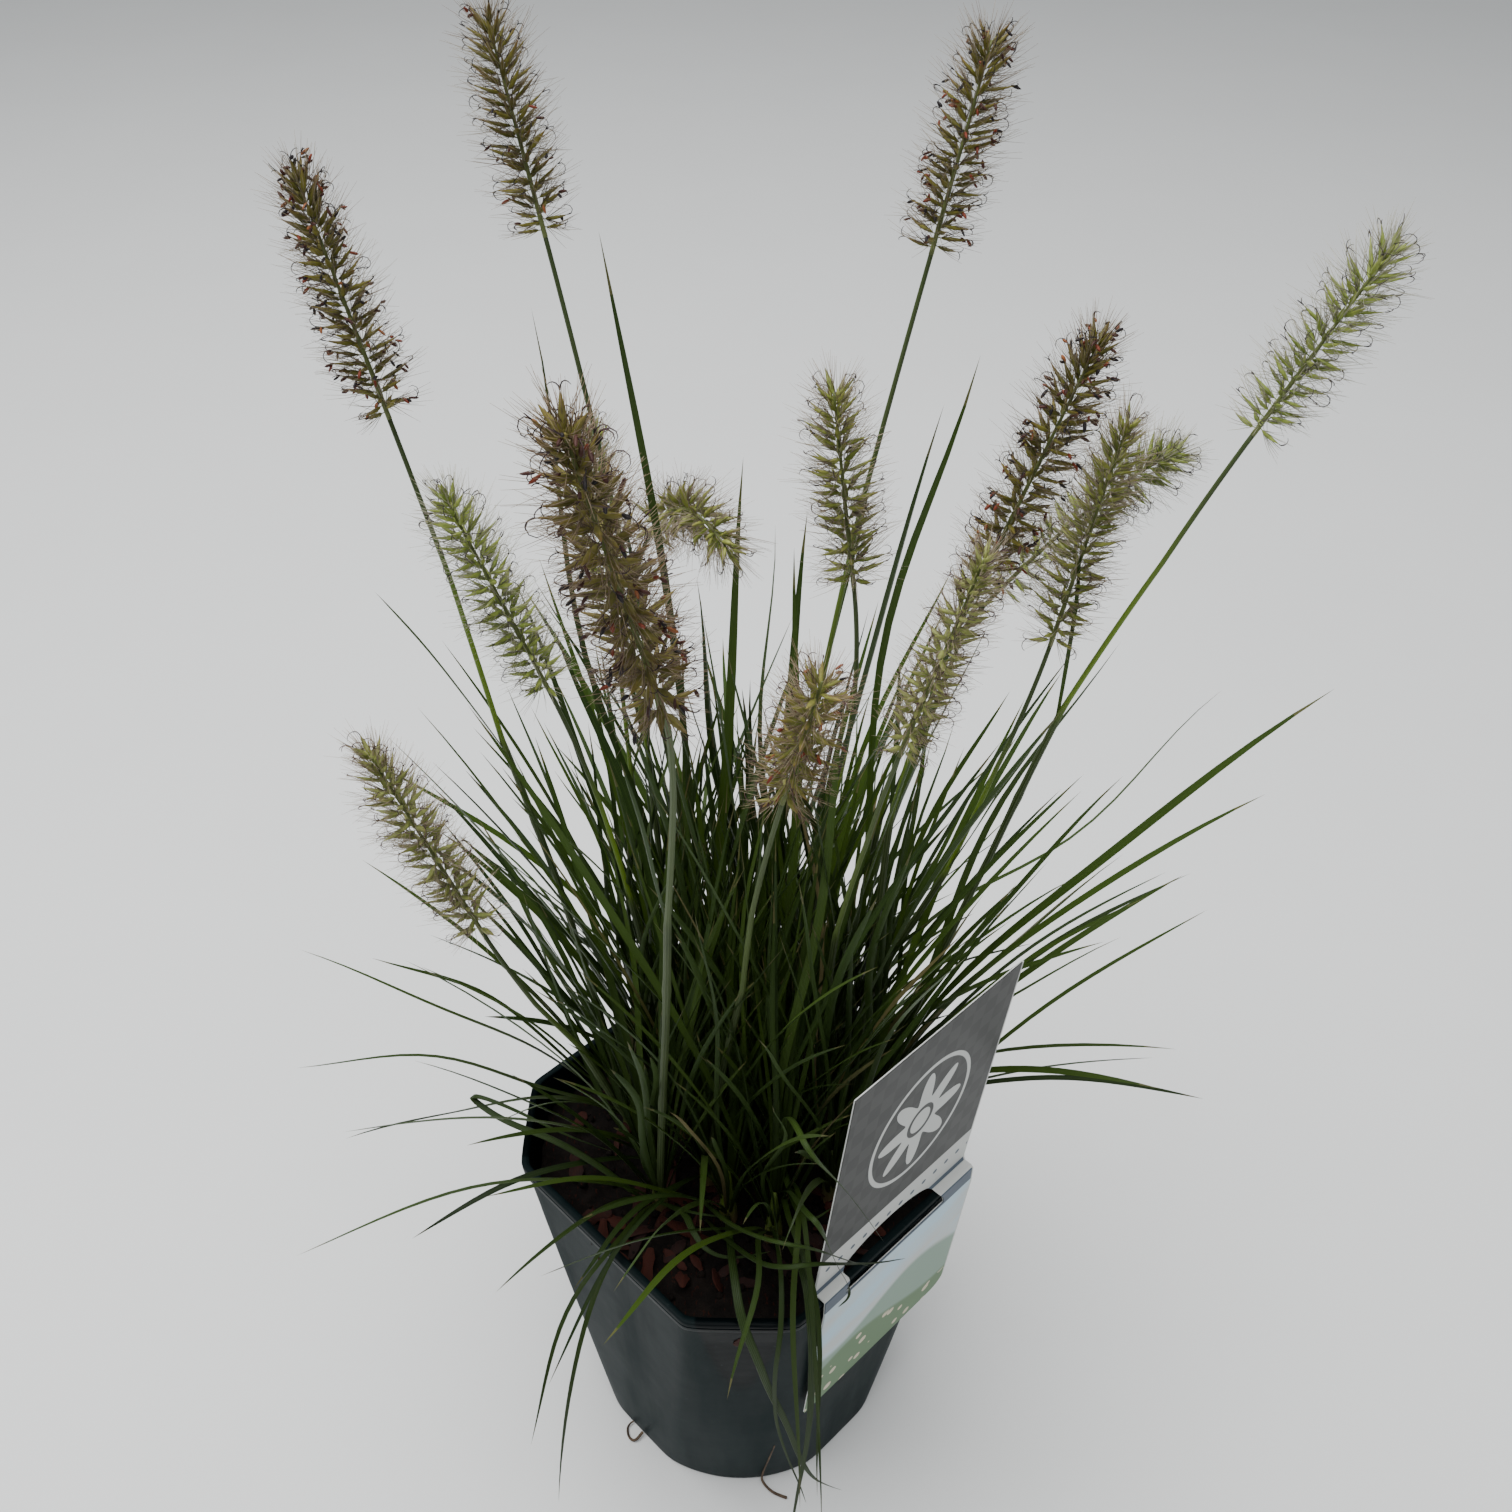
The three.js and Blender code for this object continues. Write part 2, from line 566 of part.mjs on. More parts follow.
// Every leaf and culm of the tuft. Each keeps clear of what stands on other tillers: a leaf that
// would touch is drawn again, and it is left out if no draw is clear.
function growTuft() {
  const tillers = tillerPlaces();
  const draw = seededDraw(SEED);
  const strands = [];
  const culms = [];
  const leaves = [];
  tillers.forEach(([x, y], owner) => {
    const levels = [-1, SHEATH_SHOULDER, SHEATH_RISE];
    const ends = levels.map((rise) => [x, y, SOIL_TOP + rise]);
    strands.push(strand(ends, [SHEATH_RADIUS, SHEATH_RADIUS, SHEATH_RADIUS * SHEATH_TAPER], owner));
  });
  const culmFree = tillers.map(() => 1);
  HEADS.forEach((head, i) => {
    const owner = nearestTiller(tillers, culmFree, head.foot || onCrown(head.base, CULM_REACH));
    const points = curvePoints(culmControls(tillers[owner], head), LINE_STEPS);
    strands.push(strand(points, points.map(() => CULM_RADIUS), owner));
    const axis = curvePoints(headControls(head), 4);
    strands.push(strand(axis, axis.map(() => HEAD_CLEAR), HEAD_OWNER + i));
    culms.push({ owner, head });
  });
  const thick = [];
  for (let i = 0; i <= LINE_STEPS; i++) {
    thick.push(Math.max((BLADE_WIDTH / 2) * bladeShare(i / LINE_STEPS), 0.5));
  }
  const place = (owner, root, tip, arch) => {
    const controls = leafControls(root, tip, arch);
    const points = curvePoints(controls, LINE_STEPS);
    if (leafMeetsHolder(points)) return false;
    const made = strand(points, thick, owner);
    if (strands.some((other) => other.owner !== owner && strandsMeet(made, other))) return false;
    strands.push(made);
    leaves.push({ owner, controls });
    return true;
  };
  const free = tillers.map(() => BLADES_PER_TILLER);
  for (const { tip, arch } of LONG_LEAVES) {
    const owner = nearestTiller(tillers, free, onCrown(tip, LONG_LEAF_REACH));
    const angle = Math.atan2(tip[1] - tillers[owner][1], tip[0] - tillers[owner][0]);
    const root = leafRoot(tillers[owner], angle);
    for (let turn = 0; turn < TRIES; turn++) {
      const loose = LOOSE_STEP * turn;
      const shift = [draw() - 0.5, draw() - 0.5, draw() - 0.5];
      if (place(owner, root, plus(tip, times(shift, loose)), arch)) break;
    }
  }
  for (let round = 0; round < BLADES_PER_TILLER; round++) {
    tillers.forEach((tiller, owner) => {
      if (free[owner] <= 0) return;
      free[owner] -= 1;
      const [x, y] = [tiller[0] - CROWN_PLACE[0], tiller[1] - CROWN_PLACE[1]];
      const outward = Math.atan2(y, x);
      const far = Math.sqrt(Math.hypot(x, y) / CROWN_RADIUS);
      for (let turn = 0; turn < TRIES; turn++) {
        const spin = draw() - 0.5;
        const angle = outward + (2 * Math.PI * round * 2) / BLADES_PER_TILLER + spin;
        const facing = 0.5 + 0.5 * Math.cos(angle - outward);
        const spread = (14 + 54 * draw()) * facing * far * (1 - 0.3 * Math.max(0, -Math.sin(angle)));
        const lean = 5 + spread + 8 * draw();
        const frontward = Math.max(0, -Math.sin(angle)) * Math.sin(radians(lean));
        const long = (285 - 1.5 * lean) * (0.6 + 0.4 * draw()) * (1 - 0.3 * frontward);
        const arch = 3 + lean * (0.18 + 0.3 * draw());
        const flat = long * Math.sin(radians(lean));
        const root = leafRoot(tiller, angle);
        const rise = long * Math.cos(radians(lean));
        const tip = plus(root, [flat * Math.cos(angle), flat * Math.sin(angle), rise]);
        if (place(owner, root, tip, arch)) break;
      }
    });
  }
  return { tillers, culms, leaves };
}

// A leaf blade: a shallow keel below two edges, widest near its root and drawn out to a point.
function blade(controls) {
  const [root, middle, tip] = controls;
  const flat = Math.hypot(tip[0] - root[0], tip[1] - root[1]);
  const side = [-(tip[1] - root[1]) / flat, (tip[0] - root[0]) / flat, 0];
  const bend = dot(unit(minus(middle, root)), unit(minus(tip, middle)));
  const steps = bend < 0.7 ? 5 : 4;
  const points = curvePoints(controls, steps);
  const rings = points.slice(0, steps).map((point, i) => {
    const t = i / steps;
    const along = unit(plus(times(minus(middle, root), 1 - t), times(minus(tip, middle), t)));
    const under = cross(side, along);
    const half = (BLADE_WIDTH / 2) * bladeShare(t);
    const deep = BLADE_KEEL * (0.7 + 0.3 * (1 - t));
    return [
      plus(point, times(side, -half)),
      plus(point, times(under, deep)),
      plus(point, times(side, half)),
    ];
  });
  const foot = minus(points[0], times(unit(minus(middle, root)), 0.5));
  return spindle(rings, foot, tip);
}

function sheath(tiller) {
  const profile = [
    [0, -SHEATH_DEPTH],
    [SHEATH_RADIUS, -SHEATH_DEPTH],
    [SHEATH_RADIUS, SHEATH_SHOULDER],
    [SHEATH_RADIUS * SHEATH_TAPER, SHEATH_RISE],
    [0, SHEATH_RISE],
  ];
  const shape = new THREE.LatheGeometry(
    profile.map(([far, z]) => new THREE.Vector2(far, z)),
    SHEATH_SIDES,
  );
  shape.rotateX(Math.PI / 2);
  shape.translate(tiller[0], tiller[1], SOIL_TOP);
  return solid(shape);
}

function culm(tiller, head) {
  const controls = culmControls(tiller, head).map((p) => new THREE.Vector3(...p));
  const path = new THREE.CubicBezierCurve3(...controls);
  const section = new THREE.Shape();
  for (let i = 0; i < 4; i++) {
    const angle = (i * Math.PI) / 2;
    const corner = [CULM_RADIUS * Math.cos(angle), CULM_RADIUS * Math.sin(angle)];
    if (i === 0) section.moveTo(...corner);
    else section.lineTo(...corner);
  }
  section.closePath();
  const tube = new THREE.ExtrudeGeometry(section, {
    steps: CULM_STEPS,
    extrudePath: path,
    bevelEnabled: false,
  });
  return solid(tube);
}

// Two directions square to a third.
function crossways(along) {
  const first = unit(cross(along, Math.abs(along[1]) < 0.9 ? [0, 1, 0] : [1, 0, 0]));
  return [first, cross(along, first)];
}

// A flower head: a slim rachis with spikelets all round it, in a golden angle spiral. They lie
// closer to the rachis towards its tip, and they are shortest at both ends.
function flowerHead(head, seed) {
  const draw = seededDraw(seed);
  const controls = headControls(head);
  const steps = head.over ? 3 : 2;
  const points = curvePoints(controls, steps);
  const ringAt = (point, along, radius, sides) => {
    const [u, v] = crossways(along);
    const ring = [];
    for (let i = 0; i < sides; i++) {
      const angle = (2 * Math.PI * i) / sides;
      const out = plus(times(u, radius * Math.cos(angle)), times(v, radius * Math.sin(angle)));
      ring.push(plus(point, out));
    }
    return ring;
  };
  const wayAt = (i) => unit(minus(points[Math.min(i + 1, steps)], points[Math.max(i - 1, 0)]));
  const rings = points.slice(0, steps).map((point, i) => {
    return ringAt(point, wayAt(i), RACHIS_RADIUS * (1 - (0.4 * i) / steps), 3);
  });
  const bodies = [spindle(rings, points[0], points[steps])];
  for (let i = 0; i < SPIKELETS; i++) {
    const t = 0.02 + (0.95 * (i + 0.5)) / SPIKELETS;
    const at = t * steps;
    const low = Math.min(Math.floor(at), steps - 1);
    const mid = plus(times(points[low], 1 - at + low), times(points[low + 1], at - low));
    const way = unit(minus(points[low + 1], points[low]));
    const [u, v] = crossways(way);
    const angle = radians(i * GOLDEN_ANGLE + 20 * (draw() - 0.5));
    const out = plus(times(u, Math.cos(angle)), times(v, Math.sin(angle)));
    const open = radians(68 - 50 * Math.pow(t, 2.5));
    const ray = plus(times(out, Math.sin(open)), times(way, Math.cos(open)));
    const ends = Math.min(1, 0.72 + 2.2 * t, 0.78 + 1.4 * (1 - t));
    const long = SPIKELET_LENGTH * ends * (0.9 + 0.2 * draw());
    const belly = ringAt(plus(mid, times(ray, 0.5 * long)), ray, SPIKELET_WIDTH / 2, 3);
    bodies.push(spindle([belly], mid, plus(mid, times(ray, long))));
  }
  return joined(bodies);
}

// Finishes

const finish = (color, roughness) => new THREE.MeshStandardMaterial({ color, roughness, metalness: 0 });
const potPlastic = () => finish(0x363d3f, 0.35);
const pottingSoil = () => finish(0x2b1d16, 0.95);
const leafGreen = () => finish(0x2f4a22, 0.55);
const headOlive = () => finish(0x8d8a5a, 0.8);
const labelCard = () => finish(0x9fb4c4, 0.45);

// Assembly

const tuft = growTuft();
const plant = new THREE.Group();
plant.name = "fountain_grass_in_pot";
plant.add(mesh("pot", pot(), potPlastic()));
plant.add(mesh("soil", soil(tuft.tillers), pottingSoil()));
plant.add(mesh("label", label(), labelCard()));

const twoDigits = (number) => String(number).padStart(2, "0");

tuft.tillers.forEach((tiller, i) => {
  const bodies = [sheath(tiller)];
  for (const stem of tuft.culms) {
    if (stem.owner === i) bodies.push(culm(tiller, stem.head));
  }
  for (const leaf of tuft.leaves) {
    if (leaf.owner === i) bodies.push(blade(leaf.controls));
  }
  plant.add(mesh("leafy_stem_" + twoDigits(i + 1), joined(bodies), leafGreen()));
});

HEADS.forEach((head, i) => {
  plant.add(mesh("flower_head_" + twoDigits(i + 1), flowerHead(head, SEED + 31 * i), headOlive()));
});

export default plant;
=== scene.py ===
"""A potted dwarf fountain grass: leaf fans, culms, bottlebrush heads, soil, nursery pot and plant label."""

import math
from collections import namedtuple
from functools import lru_cache

import bpy
import numpy as np
from mathutils import Matrix, Vector


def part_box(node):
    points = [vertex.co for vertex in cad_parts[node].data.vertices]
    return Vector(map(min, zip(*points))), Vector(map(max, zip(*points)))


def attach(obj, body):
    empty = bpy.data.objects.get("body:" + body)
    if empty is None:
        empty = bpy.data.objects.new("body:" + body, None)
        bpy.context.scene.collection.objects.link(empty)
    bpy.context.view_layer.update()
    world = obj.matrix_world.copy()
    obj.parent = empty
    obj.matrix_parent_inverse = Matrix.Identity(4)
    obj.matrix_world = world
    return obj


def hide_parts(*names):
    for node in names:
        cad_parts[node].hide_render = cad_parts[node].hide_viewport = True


bl_info = {
    "name": "Potted fountain grass",
    "version": (1, 0, 0),
    "blender": (4, 5, 0),
    "location": "3D View > Sidebar > Fountain grass",
    "description": "Builds the leaves, flower heads, pot, soil and label of a potted fountain grass",
    "category": "Object",
}

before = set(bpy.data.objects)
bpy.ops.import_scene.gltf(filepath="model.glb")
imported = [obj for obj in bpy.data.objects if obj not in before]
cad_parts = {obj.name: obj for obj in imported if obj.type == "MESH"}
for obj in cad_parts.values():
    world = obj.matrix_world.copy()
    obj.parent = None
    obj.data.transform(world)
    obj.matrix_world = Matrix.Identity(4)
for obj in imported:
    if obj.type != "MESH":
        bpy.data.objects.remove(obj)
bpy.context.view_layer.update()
BODY = "root"
MM = 0.001

# Pot, in millimetres. Its cut corners face X and Y, and its flat sides face the diagonals.
POT_HEIGHT = 164.0
RIM_FLAT = 75.0  # half of the width across the flat sides, at the rim
RIM_CORNER = 86.0  # from the axis to a cut corner, at the rim
RIM_ROUND = 87.7  # radius that rounds the corners of the rim
BAND_HEIGHT = 7.0  # the thick band along the rim
BAND_STEP = 1.4  # how far the band stands out of the wall
BAND_GROOVE = 0.32  # how deep the groove round the band is
BASE_ROUND = 62.0
BASE_FLAT = 60.0
PANEL_FADE = 100.0  # height at which the corner panels run out into the round wall
WALL = 1.8
FLOOR = 2.6
DRAIN_HOLES = 8
DRAIN_RADIUS = 4.0
DRAIN_RING = 44.0
NOTCH_RADIUS = 1.5
NOTCH_ASIDE = 15.5  # degrees from the middle of a flat side
RECESS_TOP = 150.0  # the corner panels are sunk into the wall below this height
PANEL_SOFT = (-15.0, 45.0)  # panel_edge at the outer and the inner end of a panel's soft border
POT_SIDES = 288
BAND_SHADE = 0.4  # how much of the panels' dark colour the rim band has
INSIDE_PAINTED_SHADE = 0.6  # how much of the panels' dark colour is painted inside the pot as shade
PANEL_CLEAN = 0.95  # how much less dust lies on the panels, as a share
FOOT_DUST = 0.6  # how much more dust lies at the foot
FLOW_LINES = 1.1  # how far apart the faint lines round the plastic are
# How far the wall's round, flat and corner parts go out for each millimetre up, and where panels start.
ROUND_GROWTH = (RIM_ROUND - BAND_STEP - BASE_ROUND) / POT_HEIGHT
FLAT_GROWTH = (RIM_FLAT - BAND_STEP - BASE_FLAT) / POT_HEIGHT
PANEL_START = BASE_ROUND + ROUND_GROWTH * PANEL_FADE
PANEL_GROWTH = (RIM_CORNER - BAND_STEP - PANEL_START) / (POT_HEIGHT - PANEL_FADE)

# Soil, in millimetres
SOIL_TOP = 147.0
SOIL_RELIEF = 1.6
SOIL_SIDES = 240
SOIL_RINGS = 56
SOIL_SOFT = 0.8  # how softly the flat sides meet the round wall at the soil
CHIP_LENGTHS = (6, 20)
CHIP_WIDTHS = (1.2, 3.2)  # half widths of the bark chips, before they are made uneven
CRUMB_SIZES = (0.7, 1.9)  # radii
CHIP_SEED = 31
CRUMB_SEED = 37

# Tuft, in millimetres where no share or angle is said
TILLERS = 24
CROWN_RADIUS = 54.0
CROWN_PLACE = (0.0, 12.0)  # the crown's middle lies behind the pot's axis
GOLDEN_ANGLE = 137.50776
SHEATH_RADIUS = 4.2
SHEATH_DEPTH = 12.0
SHEATH_RISE = 17.0
SHEATH_TAPER = 0.62
SHEATH_SHOULDER = 2.0  # height above the soil at which a stem base starts to taper
BLADES_PER_TILLER = 9
BLADE_WIDTH = 3.3
WIDEST_AT = 0.3  # share of a blade's length
LEAF_VEINS = 14  # veins round a blade
STEM_GROOVES = 9  # grooves round a culm
KEEL = 0.34  # how deep a blade's keel is, as a share of half its width
HOOK_FROM = 40.0  # degrees of arch beyond which a leaf hangs over
HOOK_SPAN = 50.0
LINE_STEPS = 12  # straight pieces that a leaf or a culm is tested in
ROOT_RING = 1.7  # how far from its tiller's axis a leaf is rooted
ROOT_HEIGHT = 5.0
LONG_LEAF_REACH = 0.3  # share of the way out to its tip at which a long leaf is rooted
TRIES = 120
TUFT_PLAY = 6.0  # how far the tuft may stand off its solids
LOOSE_STEP = 0.25  # how much further a long leaf's tip may shift at each new try
STRAND_GAP = 0.2  # free space between leaves of two tillers
BOX_ROOM = 4.0
SOIL_CLEAR = 4.0
RIM_NEAR = 0.93  # shares of the rim's half width between which no leaf comes near the wall
RIM_FAR = 1.05
RIM_CLEAR = 3.0
LABEL_CLEAR = 5.0  # free space on both sides of the label's card
LABEL_MARGIN = 4.0  # free space past the card's edges
SEED = 20873

# Flowering stems
CULM_RADIUS = 1.0
CULM_REACH = 0.48  # share of the way out to its head at which a culm is rooted
CULM_LOW = 0.27  # shares of the way out and of the rise at which its lower control lies
CULM_RISE = 0.38
CULM_BEND = 0.28  # share of its length over which it turns to the head's direction
HEAD_GAP = 0.3
HEAD_CLEAR = 12.0  # free space round a head's axis
HEAD_OWNER = 100  # the first owner number of the heads, beyond those of the tillers
HEAD_TUFT = 6.5  # the end of a head, filled by the spikelets below it
KNEE = 2.4  # how far a culm is pushed aside at its collar
CULM_STEPS = 60
CULM_SEED = 53
COLLAR_STEP = 0.22  # how much thicker the sheath makes a culm
NODE_SWELL = 0.28  # how much thicker a culm is at its nodes
NODE_LENGTH = 0.012  # share of a culm's length
MISTY_ABOVE = 0.45  # how misty a misty culm is above and below its collar
MISTY_BELOW = 0.08

# Label, in millimetres
LABEL_FROM = -34.0  # its side edges, along the rim
LABEL_TO = 49.0
LABEL_LOW = 79.0
LABEL_HIGH = 284.0
LABEL_THICK = 0.8
LABEL_SPREAD = 0.086  # how fast its lower part follows the wall inwards
LABEL_LEAN = 0.092  # how fast its upper part leans outwards
LABEL_OUTSIDE = RIM_FLAT + 0.45
LABEL_INSIDE = RIM_FLAT - BAND_STEP - WALL - 0.6 - LABEL_THICK
LABEL_STEP = POT_HEIGHT + 0.35  # where the card steps over the rim
LABEL_BEND = POT_HEIGHT - BAND_HEIGHT - 1  # below this the card follows the wall

# The label's print: heights up the plant, and places along the card, in millimetres
ROSETTE_PLACE = (8.0, 232.0)
ROSETTE_RADIUS = 25.0
FIELD_LOW = 185.8
DOTS_HEIGHT = 177.0
DOTS_PITCH = 6.5
DOT_RADIUS = 1.2
STRIPE_HIGH = 167.0
GARDEN_HIGH = 158.0
FAR_HILL = 122.0
NEAR_HILL = 102.0
PRINT_SOFT = 0.2

# Each head: its lowest spikelets, its tip, the middle of its arch if it nods, how ripe it is, the foot
# of its culm if that isn't below it, the culm's bend if that isn't CULM_BEND, how many anthers a
# spikelet carries, whether the culm is misty, and how long the spikelets are if they are shorter.
HEADS = [
    {"base": (-62, 75, 490), "tip": (-76, 88, 550), "foot": (-10, 42), "look": "ripe", "anthers": 0.35},
    {"base": (-105, 30, 453), "tip": (-123, 39, 522), "look": "ripe", "anthers": 2},
    {"base": (53, 70, 488), "tip": (67, 82, 548), "foot": (-16, 34), "look": "ripe", "anthers": 1.5},
    {"base": (143, 20, 456), "tip": (171, 23, 513), "look": "green"},
    {"base": (-61, 0, 377), "tip": (-86, -2, 449), "look": "green"},
    {"base": (-85, -30, 303), "tip": (-111, -32, 382), "look": "rosy"},
    {"base": (31, 10, 410), "tip": (22, 15, 474), "look": "olive"},
    {"base": (-32, 55, 400), "tip": (-3, 15, 411), "over": (-20, 39, 431), "look": "olive"},
    {"base": (-49, 80, 357), "tip": (-54, 90, 423), "foot": (-14, 30), "look": "green"},
    {
        "base": (-18, -110, 453),
        "tip": (-32, -142, 541),
        "foot": (-32, -20),
        "bend": 0.1,
        "look": "brown",
        "anthers": 0.8,
        "stem": "misty",
    },
    {
        "base": (10, -60, 385),
        "tip": (19, -74, 439),
        "foot": (-12, -12),
        "look": "amber",
        "anthers": 0.4,
        "stem": "misty",
    },
    {"base": (66, 0, 415), "tip": (91, -2, 497), "look": "ripe", "anthers": 1.6},
    {"base": (95, 20, 383), "tip": (110, 30, 458), "look": "olive"},
    {"base": (82, 50, 382), "tip": (131, 42, 438), "over": (115, 46, 430), "look": "green"},
    {"base": (44, -35, 382), "tip": (61, -43, 457), "look": "rosy", "slim": 0.78, "stem": "misty"},
]

# The leaves that stand out of the tuft: the tip, and how far the leaf arches, in degrees.
LONG_LEAVES = [
    ((-33, 40, 504), 4),
    ((-67, 70, 469), 8),
    ((-5, 40, 437), 9),
    ((66, 40, 469), 5),
    ((44, 0, 471), 4),
    ((8, 60, 400), 6),
    ((-99, 30, 374), 12),
    ((-110, -10, 366), 10),
    ((-136, 20, 286), 16),
    ((-133, 0, 257), 20),
    ((-129, 60, 207), 28),
    ((-149, -20, 282), 10),
    ((-166, -10, 208), 26),
    ((-148, -25, 186), 30),
    ((174, -10, 388), 14),
    ((176, 20, 321), 20),
    ((174, 60, 246), 24),
    ((131, -20, 312), 14),
    ((174, -8, 193), 26),
    ((-83, -90, 190), 36),
    ((-66, -105, 157), 52),
    ((-74, -110, 125), 62),
    ((-66, -115, 92), 72),
    ((22, -118, 96), 92),
    ((40, -118, 98), 92),
    ((31, -118, 113), 80),
    ((14, -74, 186), 44),
    ((-58, -84, 182), 38),
    ((-118, -62, 178), 34),
    ((75, 10, 400), 7),
    ((95, -10, 380), 9),
    ((105, 30, 372), 9),
    ((60, -20, 410), 6),
    ((120, 0, 345), 11),
    ((85, 50, 395), 8),
    ((-75, 40, 390), 9),
    ((-99, -40, 203), 34),
    ((60, 120, 300), 18),
    ((-70, 140, 270), 22),
    ((0, 165, 240), 24),
    ((90, 125, 205), 30),
    ((-110, 105, 190), 34),
    ((30, 128, 130), 50),
]

# Leaves that fold, curl, lie across the label or hang over the rim: the width, stops along each, and
# the face turned up, or 0 for one that hangs with its width along X.
CURLED_LEAVES = [
    (3.0, 1, [
        (-33, -26, 150), (-27, -39, 166), (-21, -47, 174), (-18, -56, 176), (-13, -63, 174),
        (-4, -65, 172), (10, -63, 174),
    ]),
    (1.8, 1, [(-30, -27, 150), (-27, -37, 162), (-20, -48, 176), (-14, -52, 180), (-6, -53, 180)]),
    (2.4, -1, [
        (12, -20, 150), (14, -42, 225), (16, -74, 264), (20, -89, 268), (31.6, -87, 248),
        (40, -80, 223), (49, -70, 192),
    ]),
    (2.4, 1, [
        (-14, -34, 150), (-6, -58, 174), (6, -82, 196), (15, -87, 202), (24, -86, 203),
        (35, -79, 192), (48, -66, 172), (60, -55, 158),
    ]),
    (2.2, -1, [
        (-16, -26, 150), (-12, -50, 182), (-4, -69, 199), (9, -90, 222), (24, -90, 218),
        (35, -80, 196), (46, -70, 176),
    ]),
    (2.4, 1, [
        (10, -26, 150), (16, -48, 192), (20, -75, 218), (26, -83, 220), (32, -82, 196),
        (37, -79, 180), (38, -80, 173), (34, -82, 170),
    ]),
    (2.6, -1, [
        (12, -10, 150), (14, -24, 176), (17, -45, 185), (20, -57, 188), (25, -57, 184),
        (32, -54, 188),
    ]),
    (3.0, 1, [
        (-34, -26, 150), (-40, -32, 162), (-52, -28, 173), (-71, -20, 180), (-90, -16, 185),
        (-104, -8, 189), (-101, -9, 192), (-88, -13, 190), (-66, -20, 182), (-50, -22, 176),
    ]),
    (3.4, 0, [
        (-6, -31, 150), (-5, -50, 168), (-3, -72, 176), (0, -88, 170), (6, -94, 155),
        (10, -97, 141), (17, -100, 122), (22, -103, 103), (27, -104, 90), (33, -102, 80),
        (39, -100, 72),
    ]),
    (2.0, 0, [
        (9, -36, 150), (12, -50, 168), (14, -74, 178), (14, -88, 170), (13, -94, 162),
        (12, -97, 152), (12, -99, 139), (13, -101, 124), (17, -104, 107), (23, -106, 86),
        (25, -107, 77),
    ]),
    (3.0, 0, [
        (12, -40, 150), (16, -56, 172), (22, -76, 181), (24, -88, 172), (25, -93, 158),
        (25, -98, 143), (25, -101, 131), (24, -105, 114), (22, -109, 97), (20, -113, 76),
        (19, -116, 63),
    ]),
]


# Small tools


def unit(vectors):
    """Vectors at length one, along the last axis."""
    return vectors / np.linalg.norm(vectors, axis=-1, keepdims=True)


def smooth_step(low, high, value):
    """Rises from 0 at low to 1 at high as 3s^2 - 2s^3."""
    share = np.clip((value - low) / (high - low), 0, 1)
    return share * share * (3 - 2 * share)


def seeded_draw(seed):
    """A repeatable draw between 0 and 1: each state is the last one times a step, modulo 2^31 - 1."""
    state, step, wrap = seed, 16807, 2**31 - 1

    def draw():
        nonlocal state
        state = state * step % wrap
        return state / wrap

    return draw


def bezier(controls, steps):
    """Points on the curve of any degree through its end controls, by repeated mixing of neighbours."""
    share = (np.arange(steps + 1) / steps)[None, :, None]
    level = np.asarray(controls, float)[:, None, :]
    while len(level) > 1:
        level = level[:-1] * (1 - share) + level[1:] * share
    return level[0]


def full_turn(sides, start=0.0):
    """Equal angles round a circle, from a share of a side."""
    return 2 * np.pi * (np.arange(sides) + start) / sides


def polar(angle, radius, height):
    """Points round Z: x is radius times cos angle, y is radius times sin angle, and z is the height."""
    return np.stack(np.broadcast_arrays(radius * np.cos(angle), radius * np.sin(angle), height), axis=-1)


def rounded(stops, passes=4):
    """A smooth line through a list of stops: each pass cuts every corner at a quarter and three quarters."""
    line = np.array(stops, float)
    for _ in range(passes):
        near = line[:-1] * 0.75 + line[1:] * 0.25
        far = line[:-1] * 0.25 + line[1:] * 0.75
        line = np.concatenate([line[:1], np.stack([near, far], axis=1).reshape(-1, 3), line[-1:]])
    return line


# The growth rule. It is the same as the solids', draw by draw, so that every leaf lies on its solid.


def tiller_places():
    """Tillers lie on a spiral: far is the crown's radius times the root of the share, golden angle apart."""
    count = np.arange(TILLERS)
    far = CROWN_RADIUS * np.sqrt((count + 0.5) / TILLERS)
    angle = np.radians(count * GOLDEN_ANGLE)
    return np.stack([far * np.cos(angle), far * np.sin(angle)], axis=1) + CROWN_PLACE


def on_crown(point, share):
    """The place at a share of the way from the crown's middle to a point."""
    return (1 - share) * np.array(CROWN_PLACE) + share * np.array(point[:2])


def nearest_tiller(places, free, place):
    """The free tiller nearest to a place."""
    gap = ((places - place) ** 2).sum(axis=1)
    gap[free <= 0] = np.inf
    best = int(np.argmin(gap))
    free[best] -= 1
    return best


def leaf_controls(root, tip, arch):
    """Root, control and tip. The control lies half the leaf's length away, raised by the arch angle."""
    root, tip = np.asarray(root, float), np.asarray(tip, float)
    reach = tip - root
    long = math.sqrt(reach @ reach)
    lean = math.acos(min(max(reach[2] / long, -1), 1)) - math.radians(arch)
    flat = math.hypot(reach[0], reach[1])
    half = (long / 2) * (1 + max(0, arch - HOOK_FROM) / HOOK_SPAN)
    side = half * math.sin(lean)
    middle = root + np.array([side * reach[0] / flat, side * reach[1] / flat, half * math.cos(lean)])
    return np.array([root, middle, tip])


def blade_share(along):
    """A blade's width: it rises from 0.62 to 1 at WIDEST_AT, then falls to 0 as 1 - s^1.6."""
    along = np.asarray(along, float)
    rest = np.clip((along - WIDEST_AT) / (1 - WIDEST_AT), 0, 1)
    return np.where(along < WIDEST_AT, 0.62 + 0.38 * along / WIDEST_AT, 1 - rest**1.6)


